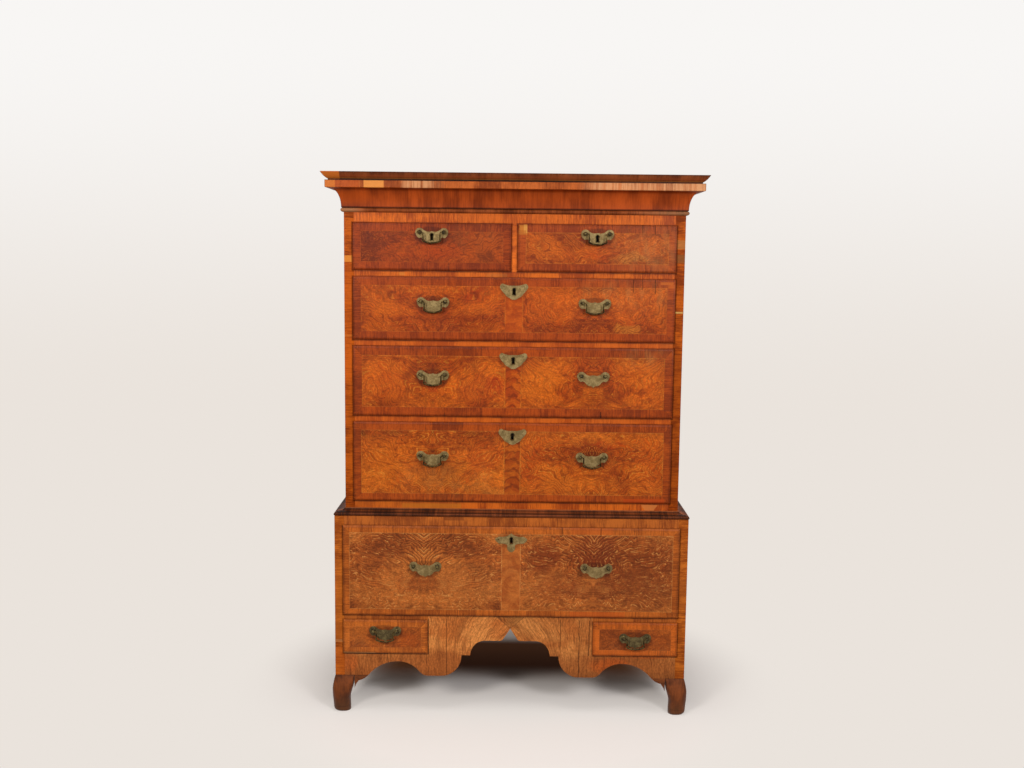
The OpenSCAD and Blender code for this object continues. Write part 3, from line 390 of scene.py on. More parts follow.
plainFront = dict(centre=0, joints=(0, 0), keys=[], patches=[])
fronts = dict(
    short_left=dict(
        band=25, seed=1.7, pitch=120, string=0.3, light=(186, 84, 30), middle=(156, 64, 20),
        dark=(104, 40, 14),
        line=(204, 112, 46), border=((128, 49, 17), (176, 77, 27)), figure=0.6, shimmer=0.32,
        pulls=[(0, 42)],
        cracks=[(-92, -69, -50, 0.5), (98, 50, 69, 0.4)], sheen=(40, 200, -10, 60, 0.04),
        clouds=[
            (-185, -5, 48, 60, (108, 42, 18), 0.6), (20, -14, 60, 26, (188, 74, 22), 0.6),
            (150, 4, 60, 44, (190, 90, 32), 0.6), (165, -26, 24, 18, (96, 38, 16), 0.6),
            (-70, 30, 60, 24, (122, 46, 18), 0.5), (-120, -58, 60, 9, (90, 34, 12), 0.6),
            (140, -58, 60, 9, (92, 36, 14), 0.55), (-60, -20, 40, 24, (170, 70, 24), 0.5)],
    ),
    short_right=dict(
        band=25, seed=4.1, pitch=110, string=0.4, light=(206, 104, 38), middle=(176, 78, 25),
        dark=(122, 48, 17),
        line=(226, 146, 78), border=((140, 58, 25), (188, 88, 38)), figure=0.58, shimmer=0.44,
        pulls=[(0, 42)],
        patches=[(-226, -212, 50, 66, (206, 132, 70), 0.9), (-213, -203, 42, 67, (222, 166, 112), 0.9),
                 (-228, -206, 38, 50, (196, 122, 64), 0.8)],
        cracks=[(130, 44, 69, 0.8), (166, 42, 69, 1), (92, 50, 69, 0.4), (206, 36, 56, 0.4)],
        sheen=(60, 230, -60, 60, 0.14),
        clouds=[
            (-150, 2, 66, 42, (212, 110, 38), 0.6), (-156, 16, 24, 16, (120, 54, 24), 0.5),
            (-66, 24, 46, 28, (124, 48, 18), 0.6), (10, -18, 54, 20, (200, 84, 26), 0.6),
            (96, -30, 46, 15, (226, 158, 100), 0.45), (128, 8, 50, 30, (186, 90, 40), 0.4),
            (206, 0, 16, 50, (206, 104, 38), 0.5), (-60, -56, 80, 9, (112, 46, 18), 0.5)],
    ),
    upper_long=dict(
        band=26, centre=51, joints=(-235, 235), seed=7.9, pitch=140, string=0.3, light=(204, 98, 32),
        middle=(174, 74, 21), dark=(118, 46, 15), line=(224, 142, 70),
        border=((136, 55, 19), (182, 82, 29)),
        figure=0.62, shimmer=0.4, bandRings=0.12, rim=0.4, pulls=[(-235, 21), (235, 21)], keys=[(0, 53)],
        patches=[(425, 462, 76, 84, (206, 112, 56), 0.7), (446, 468, 66, 76, (202, 106, 50), 0.6)],
        cracks=[(346, 52, 90, 0.9), (372, 60, 92, 0.7), (410, 50, 92, 0.9), (332, 20, 40, 0.5)],
        sheen=(200, 440, 10, 92, 0.13),
        clouds=[
            (-395, 8, 52, 62, (210, 106, 34), 0.65), (-330, 74, 40, 12, (116, 50, 20), 0.55),
            (-150, -32, 110, 30, (142, 56, 20), 0.6), (-110, 44, 40, 26, (182, 64, 18), 0.55),
            (-62, 30, 30, 50, (208, 100, 32), 0.55), (96, 6, 66, 56, (202, 96, 30), 0.55),
            (226, -44, 64, 24, (130, 52, 19), 0.65), (232, 66, 60, 18, (126, 50, 20), 0.5),
            (326, -54, 40, 15, (226, 150, 80), 0.5), (424, 6, 24, 66, (210, 108, 36), 0.6),
            (-250, 8, 50, 30, (154, 62, 20), 0.5), (340, 20, 50, 34, (182, 84, 30), 0.4)],
    ),
    middle_long=dict(
        band=28, centre=47, joints=(-235, 235), seed=12.3, pitch=130, string=0.32, light=(210, 106, 36),
        middle=(174, 72, 20), dark=(116, 44, 14), line=(228, 152, 74),
        border=((134, 55, 19), (184, 84, 29)),
        figure=0.64, shimmer=0.48, bandRings=0.6, rim=0.5, pulls=[(-235, 21), (235, 21)], keys=[(0, 64)],
        cracks=[(258, -104, -84, 1.4), (-200, -104, -92, 0.6)], sheen=(330, 460, 60, 104, 0.18),
        clouds=[
            (-375, 4, 72, 66, (208, 98, 30), 0.6), (-255, 8, 62, 66, (126, 48, 16), 0.6),
            (-230, -28, 34, 24, (200, 84, 26), 0.5), (-150, 60, 60, 28, (146, 58, 20), 0.55),
            (-110, -30, 50, 36, (190, 86, 28), 0.4), (-50, -12, 26, 30, (172, 50, 16), 0.7),
            (84, 2, 54, 54, (222, 120, 40), 0.65), (255, -34, 84, 32, (138, 58, 22), 0.6),
            (240, 62, 70, 20, (176, 78, 26), 0.4), (424, 4, 36, 70, (214, 106, 32), 0.65),
            (-372, -60, 60, 16, (170, 80, 30), 0.5), (340, 30, 40, 34, (190, 90, 32), 0.4)],
    ),
    lower_long=dict(
        band=25, centre=47, joints=(-235, 235), seed=18.6, pitch=150, string=0.34, light=(220, 118, 46),
        middle=(188, 86, 28), dark=(120, 50, 18), line=(236, 164, 92),
        border=((134, 57, 21), (184, 87, 34)),
        figure=0.64, shimmer=0.52, bandRings=0.62, rim=0.5, pulls=[(-235, 21), (235, 21)], keys=[(0, 79)],
        patches=[(330, 452, -118, -104, (192, 78, 28), 0.75), (-23.5, 23.5, -94, 94, (96, 36, 12), 0.3)],
        cracks=[(-90, -118, -98, 0.5)], sheen=(-320, -40, -90, -10, 0.08),
        clouds=[
            (-388, 2, 56, 78, (212, 114, 44), 0.6), (-190, 62, 120, 28, (134, 52, 18), 0.6),
            (-205, -44, 84, 42, (158, 90, 48), 0.6), (-92, 4, 50, 56, (194, 84, 28), 0.5),
            (-90, -80, 90, 14, (190, 124, 76), 0.35), (58, 0, 34, 84, (192, 82, 26), 0.5),
            (220, 30, 92, 46, (128, 48, 17), 0.65), (296, 58, 44, 14, (184, 62, 20), 0.5),
            (150, -54, 46, 38, (212, 114, 42), 0.65), (308, -40, 54, 46, (146, 60, 22), 0.5),
            (412, 4, 42, 80, (206, 96, 30), 0.6), (-440, 84, 20, 14, (70, 30, 14), 0.6)],
    ),
    deep=dict(
        band=21, centre=55, joints=(-258, 245), seed=25.2, pitch=170, string=0.4, light=(190, 108, 55),
        middle=(162, 82, 38), dark=(92, 42, 20), line=(220, 152, 96),
        border=((142, 70, 28), (196, 104, 44)),
        figure=0.55, shimmer=0.72, bandRings=0.1, rim=0.5, flame=dict(reach=0.09, above=0.13, below=-0.03),
        pulls=[(-258, 17), (245, 17)], keys=[(0, 96)],
        patches=[(176, 340, -136, -118, (192, 88, 34), 0.6), (176, 300, 118, 136, (186, 88, 34), 0.5)],
        cracks=[(150, 116, 136, 0.8), (265, 114, 136, 0.9)], sheen=(-60, 60, -60, 100, 0.02),
        clouds=[
            (-380, 60, 80, 50, (138, 68, 34), 0.5), (-420, -60, 60, 60, (170, 94, 46), 0.4),
            (-130, -40, 100, 70, (176, 104, 58), 0.45), (-110, 70, 80, 26, (140, 70, 36), 0.5),
            (0, 0, 24, 120, (182, 84, 30), 0.8), (100, 50, 60, 50, (124, 52, 24), 0.75),
            (140, -50, 80, 50, (132, 62, 32), 0.65), (250, 60, 80, 50, (118, 44, 19), 0.75),
            (370, 20, 130, 90, (116, 50, 24), 0.7), (400, -70, 90, 50, (118, 56, 28), 0.6),
            (290, -60, 60, 50, (112, 50, 25), 0.5)],
    ),
    small_left=dict(
        band=20, seed=31.4, pitch=90, string=0.2, light=(202, 108, 48), middle=(176, 88, 36),
        dark=(118, 54, 24),
        line=(206, 126, 66), border=((154, 77, 32), (208, 114, 50)), figure=0.45, shimmer=0.25,
        pulls=[(0, 21)],
        patches=[(-126, -30, -52, -47, (206, 150, 108), 0.55)], cracks=[(-126, -30, -49, 0.5)],
        sheen=(-120, 120, -50, 0, 0.04),
        clouds=[
            (60, -10, 50, 26, (184, 82, 28), 0.5), (-70, 10, 40, 30, (168, 92, 40), 0.5),
            (0, 6, 60, 24, (122, 54, 22), 0.35)],
    ),
    small_right=dict(
        band=20, seed=36.8, pitch=90, string=0.3, light=(178, 90, 38), middle=(152, 72, 30),
        dark=(102, 45, 19),
        line=(194, 112, 56), border=((148, 71, 28), (206, 104, 40)), figure=0.45, shimmer=0.25,
        pulls=[(0, 7)],
        patches=[(-120, 40, -48, -32, (192, 92, 34), 0.5)], cracks=[(-124, -50, -46, 0.6)],
        sheen=(-120, 120, -50, 0, 0.03),
        clouds=[
            (-70, 0, 40, 26, (136, 64, 28), 0.5), (70, -6, 44, 24, (158, 74, 28), 0.5),
            (-40, -40, 80, 8, (196, 92, 32), 0.6)],
    ),
)


def figuredLeaf(b, u, v, spec, seed):  # colour and height of matched leaves of figured walnut
    wu, wv, _ = b.split(b.noise((u * 7, v * 9, seed), 1, 2, 0.55, 0.3, hue=True))
    pu, pv = u + (wu - 0.5) * 0.09, v + (wv - 0.5) * 0.09
    cloud = b.noise((pu * 6, pv * 9, seed), 1, 3, 0.6, 0.4)
    mottle = b.noise((pu * 30, pv * 44, seed), 1, 3, 0.62, 0.8)
    speck = b.noise((u * 190, v * 240, seed), 1, 2, 0.6)
    dapple = b.noise((pu * 75, pv * 95, seed), 1, 2, 0.6, 0.5)
    phase = b.noise((pu * 12, pv * 15, seed + 3), 1, 1.5, 0.5, 0.6) * 58 + pv * 300 - pu * 230
    flame = spec.get("flame")
    if flame:  # nested points over the joint, as where a branch leaves the trunk
        nearJoint = b.maths("EXPONENT", u * (-1 / flame["reach"]))
        tongue = nearJoint * b.rise(v, -0.06, 0, flame["below"], flame["above"])
        wander = b.noise((pu * 9, pv * 15, seed + 3), 1, 3, 0.6, 1.2)
        calm = nearJoint * b.rise(v, -0.02, 0.05)
        phase = (v + tongue) * 560 + wander * b.blend(calm, 66, 16)
    wave = b.maths("SINE", phase)
    if flame:
        broken = b.noise((pu * 38, pv * 110, seed + 6), 1, 2, 0.6)
        curl = b.maths("SINE", phase + mottle * 4) * b.most(b.rise(broken, 0.4, 0.56, 0.4, 1), calm)
    else:
        curl = b.maths("SINE", phase * 2.7 + mottle * 11)
    strands = b.noise((pu * 620, pv * 66, seed), 1, 2, 0.6)
    pores = b.noise((pu * 2300, pv * 210, seed), 1, 1, 0.5)
    base = b.mix(b.rise(cloud, 0.38, 0.64), spec["middle"], spec["light"])
    base = b.mix(b.rise(mottle, 0.46, 0.72) * 0.5, base, spec["dark"])
    base = b.mix(b.rise(cloud, 0.47, 0.28) * 0.4, base, spec["dark"])
    base = b.vary(base, dapple, 0.3, 0.7, 0.79, 1.24)
    if flame:
        base = b.mix(b.rise(wave, 0.1, 0.9) * b.rise(calm, 0.1, 0.5) * 0.6, base, spec["dark"])
    return base, dict(cloud=cloud, mottle=mottle, speck=speck, wave=wave, curl=curl, strands=strands,
                      pores=pores)


def grainLines(b, base, spec, grain):  # the fine lines, specks and pores over a leaf's colour
    lines = b.rise(grain["wave"], 0.3, 1) * b.rise(grain["cloud"], 0.6, 0.4, 0.4, 1)
    base = b.mix(lines * spec["figure"], base, spec["dark"])
    gleam = b.rise(grain["curl"], 0.4, 1) * b.rise(grain["mottle"], 0.6, 0.38, 0.15, 1)
    base = b.mix(gleam * spec["shimmer"], base, spec["line"])
    base = b.vary(base, grain["speck"], 0.3, 0.7, 0.82, 1.18)
    base = b.vary(base, grain["strands"], 0.25, 0.75, 0.88, 1.1)
    base = b.vary(base, grain["pores"], 0.35, 0.5, 0.8, 1)
    height = grain["strands"] * 0.25 + grain["pores"] * 0.3 + grain["wave"] * 0.05
    return base, height


def crossGrain(b, along, across, seed, pitch, woods, contrast=1):
    # short pieces laid side by side with the grain across the run; pitch in millimetres
    sway = b.noise((along * 9, seed, 0), 1, 1)
    run = along * (1000 / pitch) + sway * 1.3
    cell = b.maths("FLOOR", run)
    part = b.maths("FRACT", run)
    each = b.chance(cell, round(seed * 10), 1)
    warmth = b.chance(cell, round(seed * 10), 5)
    drift = b.noise((along * 60, across * 30, seed), 1, 2, 0.6, 0.5)
    lean = along + drift * 0.006
    streak = b.noise((lean * 320, across * 22, seed + cell * 0.37), 1, 4, 0.7)
    pores = b.noise((lean * 1900, across * 150, seed), 1, 1)
    cloud = b.noise((along * 22, across * 14, seed), 1, 3, 0.6)
    level = (streak - 0.5) * 1.9 * contrast + (cloud - 0.5) * 2 + (each - 0.5) * 0.3 * contrast
    base = b.mix(b.rise(level, -0.5, 0.5), *woods)
    base = b.shade(base, b.blend(warmth, 0.94, 1.06))
    base = b.vary(base, pores, 0.34, 0.5, 0.84, 1)
    joint = b.rise(b.least(part, 1 - part), 0.9 / pitch, 0.3 / pitch)
    base = b.dim(base, joint, 0.72)
    height = streak * 0.3 + pores * 0.3 - joint * 0.8
    return base, height


def frontVeneer(name, spec):
    low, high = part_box(name + "_face")
    middle, half = (low + high) / 2, (high - low) / 2
    b = bench(name + "Veneer")
    seed = spec["seed"]
    u, v = b.x - middle.x, b.z - middle.z
    fromSide, fromEnd = half.x - abs(u), half.z - abs(v)
    edge = b.least(fromSide, fromEnd)
    band = spec["band"] / 1000
    right = b.over(u, 0)
    folded = abs(u - b.blend(right, *(at / 1000 for at in spec["joints"])))
    field, grain = figuredLeaf(b, folded, v, spec, seed + right * 3.3)
    driftU, driftV, driftMix = b.split(b.noise((u * 16, v * 16, seed + 5), 1, 3, 0.6, 0.5, hue=True))
    blotU, blotV = u + (driftU - 0.5) * 0.11, v + (driftV - 0.5) * 0.07
    ragged = b.rise(grain["mottle"] + driftMix, 0.75, 1.2, 0.55, 1.1)
    for *place, paint, amount in spec["clouds"]:
        field = b.mix(b.blot(blotU, blotV, place) * ragged * amount, field, paint)
    field = b.vary(field, edge + (driftMix - 0.5) * 0.05, band, band + 0.03, 0.86, 1)
    field, height = grainLines(b, field, spec, grain)
    if spec["centre"]:  # the upright band in the middle, with dark arches across it
        halfBand = spec["centre"] / 2000
        arch = v * 230 + u * u * 5200
        wobble = b.noise((u * 30, v * 40, seed), 1, 2, 0.6, 0.6)
        rings = b.rise(b.maths("SINE", arch + wobble * 11), 0.1, 0.95)
        bandGrain = b.noise((u * 160, v * 700, seed + 2), 1, 2, 0.6)
        strip = b.mix(b.rise(wobble, 0.35, 0.65), spec["middle"], spec["light"])
        strip = b.mix(rings * spec["bandRings"], strip, spec["dark"])
        strip = b.vary(strip, bandGrain, 0.25, 0.75, 0.84, 1.08)
        strip = b.vary(strip, grain["speck"], 0.28, 0.72, 0.88, 1.1)
        inStrip = b.rise(abs(u), halfBand + 0.0004, halfBand - 0.0004)
        field = b.mix(inStrip, field, strip)
        rim = b.span(abs(u), halfBand - 0.0011, halfBand + 0.0011, 0.0005)
        broken = b.rise(grain["mottle"], 0.62, 0.42, 0.3, 1)
        field = b.mix(rim * broken * spec["rim"], field, spec["line"])
    onSide = b.over(fromEnd, fromSide)
    along = b.blend(onSide, u, v + b.maths("SIGN", u) * 7)
    across = b.blend(onSide, v + 3, u)
    border, borderHeight = crossGrain(b, along, across, seed, spec["pitch"], spec["border"], 1.5)
    border = b.vary(border, grain["speck"], 0.28, 0.72, 0.9, 1.1)
    inBorder = b.rise(edge, band + 0.0004, band - 0.0004)
    colour = b.mix(inBorder, field, border)
    colour = b.dim(colour, b.rise(abs(fromSide - fromEnd), 0.0012, 0.0004) * inBorder, 0.75)
    stringing = b.span(edge, band - 0.0008, band + 0.0009, 0.0005)
    faint = b.rise(grain["mottle"], 0.62, 0.4, 0.35, 1)
    colour = b.mix(stringing * faint * spec["string"], colour, spec["line"])
    colour = b.inlay(colour, u, v, spec["patches"])
    gaps = b.cracks(u, v, spec["cracks"], 60, 2, 0.004, 0.0004)
    colour = b.dim(colour, gaps, 0.22)
    # painted reflection: pale cloudy patches standing for the soft reflection of the light on the wax
    *paintedSheenAt, amount = spec["sheen"]
    cloudy = b.rise(b.noise((u * 30, v * 12, seed + 9), 1, 4, 0.7), 0.42, 0.68, 0.2, 1)
    colour = b.mix(b.area(u, v, paintedSheenAt, 0.05) * cloudy * (amount * 1.6), colour, (206, 168, 142))
    scratch = b.noise(((u + v * 0.6) * 90, (v - u * 0.4) * 420, seed), 1, 2, 0.5, 0.4)
    mark = b.rise(scratch, 0.68, 0.76) * b.rise(grain["cloud"], 0.45, 0.62)
    colour = b.mix(mark * 0.3, colour, (224, 160, 104))
    paintedShadeAndDirt = b.rise(edge, 0.011, 0, 0, 0.34)  # painted shade, with old wax and dirt, along the lip and round and below the brasses
    for pu, pv in spec["pulls"]:
        paintedShadeAndDirt = b.most(paintedShadeAndDirt, b.blot(u, v, (pu, pv - 10, 47, 24), 1.45, 0.9) * 0.42)
    for pu, pv in spec["keys"]:
        paintedShadeAndDirt = b.most(paintedShadeAndDirt, b.blot(u, v, (pu, pv + 2, 40, 25), 1.4, 0.8) * 0.3)
    colour = b.shade(colour, 1 - paintedShadeAndDirt)
    colour = b.glaze(colour, varnish["upper" if low.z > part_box("waist_moulding")[0].z else "stand"])
    worn = b.noise((b.x * 8, b.z * 8, seed), 1, 3, 0.6)
    rough = b.rise(worn, 0.3, 0.7, 0.38, 0.52) + mark * 0.12
    relief = b.blend(inBorder, height, borderHeight) - b.rise(abs(edge - band), 0.0007, 0.0002) * 0.5
    return b.finish(colour, rough, relief - gaps * 2, 0.00035, 0.8)


for name, spec in fronts.items():
    easedCopy(name + "_face", frontVeneer(name, plainFront | spec), 0.0005)
print("drawer fronts veneered")


# Plain wood

def pineGrain(b, along, across, through, woods, seed):
    # flat-sawn boards: soft rings along the length, with fine fibres
    deep = seed + through * 5
    wander = b.noise((along * 1.2, across * 6, deep), 1, 3, 0.5)
    rings = b.maths("SINE", across * 300 + wander * 38)
    clear = b.noise((along, across * 11, deep + 8), 1, 2, 0.5)
    fibre = b.noise((along * 30, across * 700, seed + through * 700), 1, 2, 0.6)
    base = b.mix(b.rise(rings, -0.6, 1) * b.rise(clear, 0.35, 0.65, 0.12, 0.6), *reversed(woods))
    base = b.vary(base, fibre, 0.3, 0.7, 0.84, 1.1)
    return base, rings * 0.12 + fibre * 0.5


# Carcase veneers

def paintedGapShade(b, reach=0.0045, drop=0.0012):  # painted shade, with some dark wax, on the wood close round each drawer, moved down by drop so it lies more below each front
    dirt = 0
    for name in fronts:
        low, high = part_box(name + "_face")
        middle, half = (low + high) / 2, (high - low) / 2
        awayX = abs(b.x - middle.x) - half.x
        awayZ = abs(b.z - (middle.z - drop)) - half.z
        dirt = b.most(dirt, b.rise(b.most(awayX, awayZ), reach, 0.0005))
    return 1 - dirt * b.rise(b.noise(b.place, 24, 2, 0.6), 0.3, 0.7, 0.45, 0.75)


carcase = dict(
    upper_sides=dict(
        woods=((136, 60, 20), (206, 106, 40)), seed=2.3,
        patches=[
            # the two greyish patches high on the right stile, 1352 to 1418 mm up, are a painted reflection
            (-494, -470, 1345, 1364, (236, 156, 96), 0.9), (466, 494, 1392, 1418, (186, 140, 116), 0.55),
            (466, 494, 1352, 1376, (150, 110, 90), 0.5), (468, 492, 1206, 1211, (222, 188, 160), 0.8),
            (-494, -466, 1128, 1134, (224, 150, 100), 0.4), (466, 494, 640, 1090, (112, 50, 24), 0.35),
            (-494, -466, 1000, 1345, (222, 110, 40), 0.35)],
    ),
    stand_sides=dict(
        woods=((146, 70, 27), (212, 118, 48)), seed=6.1,
        patches=[
            (-523, -495, 215, 223, (216, 160, 120), 0.3), (-523, -495, 113, 200, (190, 92, 38), 0.45),
            (-523, -495, 223, 470, (200, 112, 48), 0.35), (495, 523, 330, 420, (170, 92, 44), 0.4)],
    ),
    upper_rails=dict(
        woods=((166, 74, 28), (236, 126, 52)), seed=8.7,
        patches=[
            (-334, -318, 1308, 1317, (224, 140, 78), 0.8), (-470, -150, 620, 641, (196, 112, 48), 0.35),
            (-326, -150, 620, 634, (206, 130, 58), 0.6), (-80, -20, 1306, 1316, (176, 116, 84), 0.35),
            (430, 466, 1105, 1120, (196, 116, 62), 0.4), (-130, 80, 1462, 1486, (206, 104, 44), 0.35),
            (-466, 466, 1103, 1120, (206, 98, 42), 0.35), (-466, 466, 879, 896, (204, 98, 38), 0.35)],
    ),
    stand_rails=dict(
        woods=((136, 66, 28), (190, 104, 46)), seed=11.9,
        patches=[(-200, -140, 590, 600, (96, 44, 20), 0.5)],
    ),
    side=dict(dark=(112, 48, 19), middle=(146, 68, 26), light=(176, 86, 34), line=(196, 116, 56), figure=0.3,
              shimmer=0.14),
    frontDepth=0.003,  # how far back the crossbanding of the front edges goes
)


def stileVeneer(name, node):
    # crossbanded front edges; the outer sides are upright leaves, matched at the middle
    b = bench(name)
    spec, side = carcase[node], carcase["side"]
    low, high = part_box(node)
    frontY = low.y + carcase["frontDepth"]
    onFront = b.rise(b.y, frontY + 0.0006, frontY)
    front, frontHeight = crossGrain(b, b.z, b.x, spec["seed"], 95, spec["woods"], 1.4)
    folded = abs(b.y - (low.y + high.y) / 2)
    leaf, grain = figuredLeaf(b, folded, b.z * 0.35, side, spec["seed"] + b.over(b.x, 0))
    leaf, leafHeight = grainLines(b, leaf, side, grain)
    leaf = b.dim(leaf, b.rise(folded, 0.001, 0.0004), 0.7)
    outside = b.rise(abs(b.x), high.x - 0.0026, high.x - 0.0014)
    plain, plainHeight = pineGrain(b, b.z, b.y, b.x, ((122, 80, 46), (158, 112, 68)), spec["seed"])
    colour = b.inlay(b.mix(onFront, leaf, front), b.x, b.z, spec["patches"], onFront)
    # painted shade round the drawers
    colour = b.glaze(b.dim(colour, onFront, paintedGapShade(b)), varnish[node.split("_")[0]])
    colour = b.mix(b.most(outside, onFront), plain, colour)
    height = b.blend(onFront, b.blend(outside, plainHeight, leafHeight), frontHeight)
    return b.finish(colour, b.worn(0.38, 0.54, 7), height, 0.00035, 0.8, 0.06)


def railVeneer(name, node):  # crossbanded front, and plain wood behind
    b = bench(name)
    spec = carcase[node]
    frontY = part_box(node)[0].y + carcase["frontDepth"]
    wood = crossGrain(b, b.x, b.z, spec["seed"], 105, spec["woods"], 1.35)
    if node == "upper_rails":  # the upright divider has its own grain
        left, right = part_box("short_left_face")[1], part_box("short_right_face")[0]
        divider = (left.x * 1000 - 4, right.x * 1000 + 4, right.z * 1000, left.z * 1000)
        wood = b.lay(b.area(b.x, b.z, divider, 0.0004), wood, crossGrain(b, b.z, b.x, 5.2, 80, spec["woods"]))
    colour, height = wood
    colour = b.inlay(colour, b.x, b.z, spec["patches"])
    if node == "upper_rails":  # the pale wedge let into the bottom rail
        half = b.rise(b.z, 0.62, 0.637, 0.014, 0.024)
        wedge = b.rise(abs(b.x - 0.409) - half, 0.0006, -0.0006) * b.rise(b.z, 0.6378, 0.6368)
        colour = b.mix(wedge * 0.8, colour, (224, 142, 104))
    else:  # the apron's veneer runs on over the middle of the lower rail
        left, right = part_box("small_left_face")[1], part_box("small_right_face")[0]
        inMiddle = b.area(b.x, b.z, (left.x * 1000, right.x * 1000, 270, 300), 0.0004)
        colour, height = b.lay(inMiddle, (colour, height), apronGrain(b, apron))
    # painted shade round the drawers
    colour = b.glaze(b.shade(colour, paintedGapShade(b)), varnish[node.split("_")[0]])
    behind = pineGrain(b, b.x, b.z, b.y, ((112, 66, 36), (152, 100, 58)), 3)
    colour, height = b.lay(b.rise(b.y, frontY + 0.0006, frontY), behind, (colour, height))
    return b.finish(colour, b.worn(0.38, 0.54, 9), height, 0.00035, 0.8)


# Apron: upright grain, two leaves that slope to the point in the middle, old cracks

apron = dict(
    dark=(102, 50, 24), light=(222, 144, 88), middle=(190, 109, 59), low=(166, 94, 52),
    cracks=[(-366, 113, 290, 0.8), (-190, 113, 290, 0.7), (-244, 180, 290, 1), (150, 200, 290, 0.8),
            (206, 113, 290, 0.8), (-250, 150, 182, 0.5), (-118, 180, 240, 0.4), (330, 113, 180, 0.6),
            (-452, 113, 182, 0.4), (236, 180, 290, 0.9)],
    red=[(300, 150, 60, 26, 0.75), (420, 178, 70, 5, 0.5), (-480, 150, 24, 30, 0.4)],
    split=(-495, -366, 179.2, 181.2),  # a level crack under the left small drawer
    peak=0.149,  # of the middle arch over the lowest point
    slope=1.15,  # of the joints that rise from the peak
)


def apronGrain(b, spec):
    fromMiddle, above = abs(b.x), b.z - (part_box("apron")[0].z + spec["peak"])
    wedge = above * spec["slope"] - fromMiddle  # over 0 between the two sloping joints
    inWedge = b.over(wedge, 0)
    lean = b.rise(fromMiddle, 0.2, 0.05) * 0.75
    u = fromMiddle + above * b.blend(inWedge, lean, -0.5)
    v = b.z - fromMiddle * lean * 0.5
    wu, wv, _ = b.split(b.noise((b.x * 14, b.z * 9, 2), 1, 2, 0.5, 0.4, hue=True))
    pu, side = u + (wu - 0.5) * 0.05, b.over(b.x, 0)
    strands = b.noise((pu * 330, v * 20, side), 1, 4, 0.75)
    broad = b.noise((pu * 60, v * 7, side + 5), 1, 2, 0.6)
    specks = b.noise((b.x * 200, b.z * 130, 9), 1, 2, 0.6)
    pores = b.noise((pu * 1500, v * 120, 4), 1, 1)
    rings = b.maths("SINE", pu * 520 + wv * 26)
    cloud = b.noise((b.x * 8, b.z * 11, 7), 1, 3, 0.6)
    base = b.mix(b.rise(cloud, 0.36, 0.64), spec["middle"], spec["light"])
    base = b.mix(b.rise(b.z + (cloud - 0.5) * 0.1, 0.21, 0.165, 0, 0.85), base, spec["low"])
    for *place, amount in spec["red"]:
        base = b.mix(b.blot(b.x + (wu - 0.5) * 0.05, b.z, place) * amount, base, (194, 88, 32))
    base = b.shade(base, b.blend(side, 1.14, 0.96))
    base = b.mix(b.rise(broad, 0.46, 0.7, 0, 0.42), base, spec["dark"])
    base = b.mix(b.rise(strands, 0.48, 0.66, 0, 0.62), base, spec["dark"])
    base = b.mix(b.rise(rings, 0.4, 1, 0, 0.25), base, spec["dark"])
    base = b.vary(base, specks, 0.28, 0.72, 0.8, 1.2)
    base = b.vary(base, pores, 0.34, 0.5, 0.78, 1)
    joint = b.rise(abs(wedge), 0.0014, 0.0005)
    base = b.dim(b.dim(base, inWedge, 0.66), joint, 0.5)
    gaps = b.cracks(b.x, b.z, spec["cracks"], 30, 3, 0.006, 0.0005)
    gaps = b.most(gaps, b.area(b.x, b.z, spec["split"], 0.0005))
    base = b.dim(base, gaps, 0.2)
    height = strands * 0.4 + pores * 0.3 - b.most(gaps, joint) * 1.5
    return base, height


def apronVeneer(spec):
    b = bench("apronVeneer")
    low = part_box("apron")[0]
    onFront = b.rise(b.y, low.y + 0.0012, low.y + 0.0006)
    base, height = apronGrain(b, spec)
    base = b.shade(base, 1 - b.rise(b.z, low.z + 0.03, low.z, 0, 0.2))
    # painted shade round the drawers
    base = b.glaze(b.shade(base, paintedGapShade(b)), varnish["stand"])
    edgeWood = b.shade(b.mix(b.noise(b.place, 60, 3, 0.6), (128, 78, 42), (160, 104, 60)), 0.8)
    return b.finish(b.mix(onFront, edgeWood, base), b.worn(0.42, 0.58, 9), height, 0.0004, 0.9)


for node, name in ("upper_sides", "upperStileVeneer"), ("stand_sides", "standStileVeneer"):
    easedCopy(node, stileVeneer(name, node), 0.0008)
for node, name in ("upper_rails", "railVeneer"), ("stand_rails", "standRailVeneer"):
    easedCopy(node, railVeneer(name, node), 0.0005)
easedCopy("apron", apronVeneer(apron), 0.0008)
print("carcase veneered")


# Cornice, neck and waist mouldings: short blocks with the grain upright

mouldings = dict(
    crown=((92, 45, 27), (156, 88, 58)),
    band=((136, 64, 28), (194, 106, 56)),
    hollow=((126, 52, 20), (192, 88, 37)),
    neck=((98, 48, 25), (162, 88, 52)),
    waist=((56, 25, 10), (128, 64, 30)),
    halfWidth=0.494, frontY=-0.232,  # of the carcase that the mouldings run round
)


def cornerRun(b, spec):  # the run along the front or the sides, and how far out of the sides and of the front
    onSide = b.over(b.facing[0], b.facing[1])
    along = b.blend(onSide, b.x, b.y + b.maths("SIGN", b.x) * 5)
    return along, abs(b.x) - spec["halfWidth"], spec["frontY"] - b.y


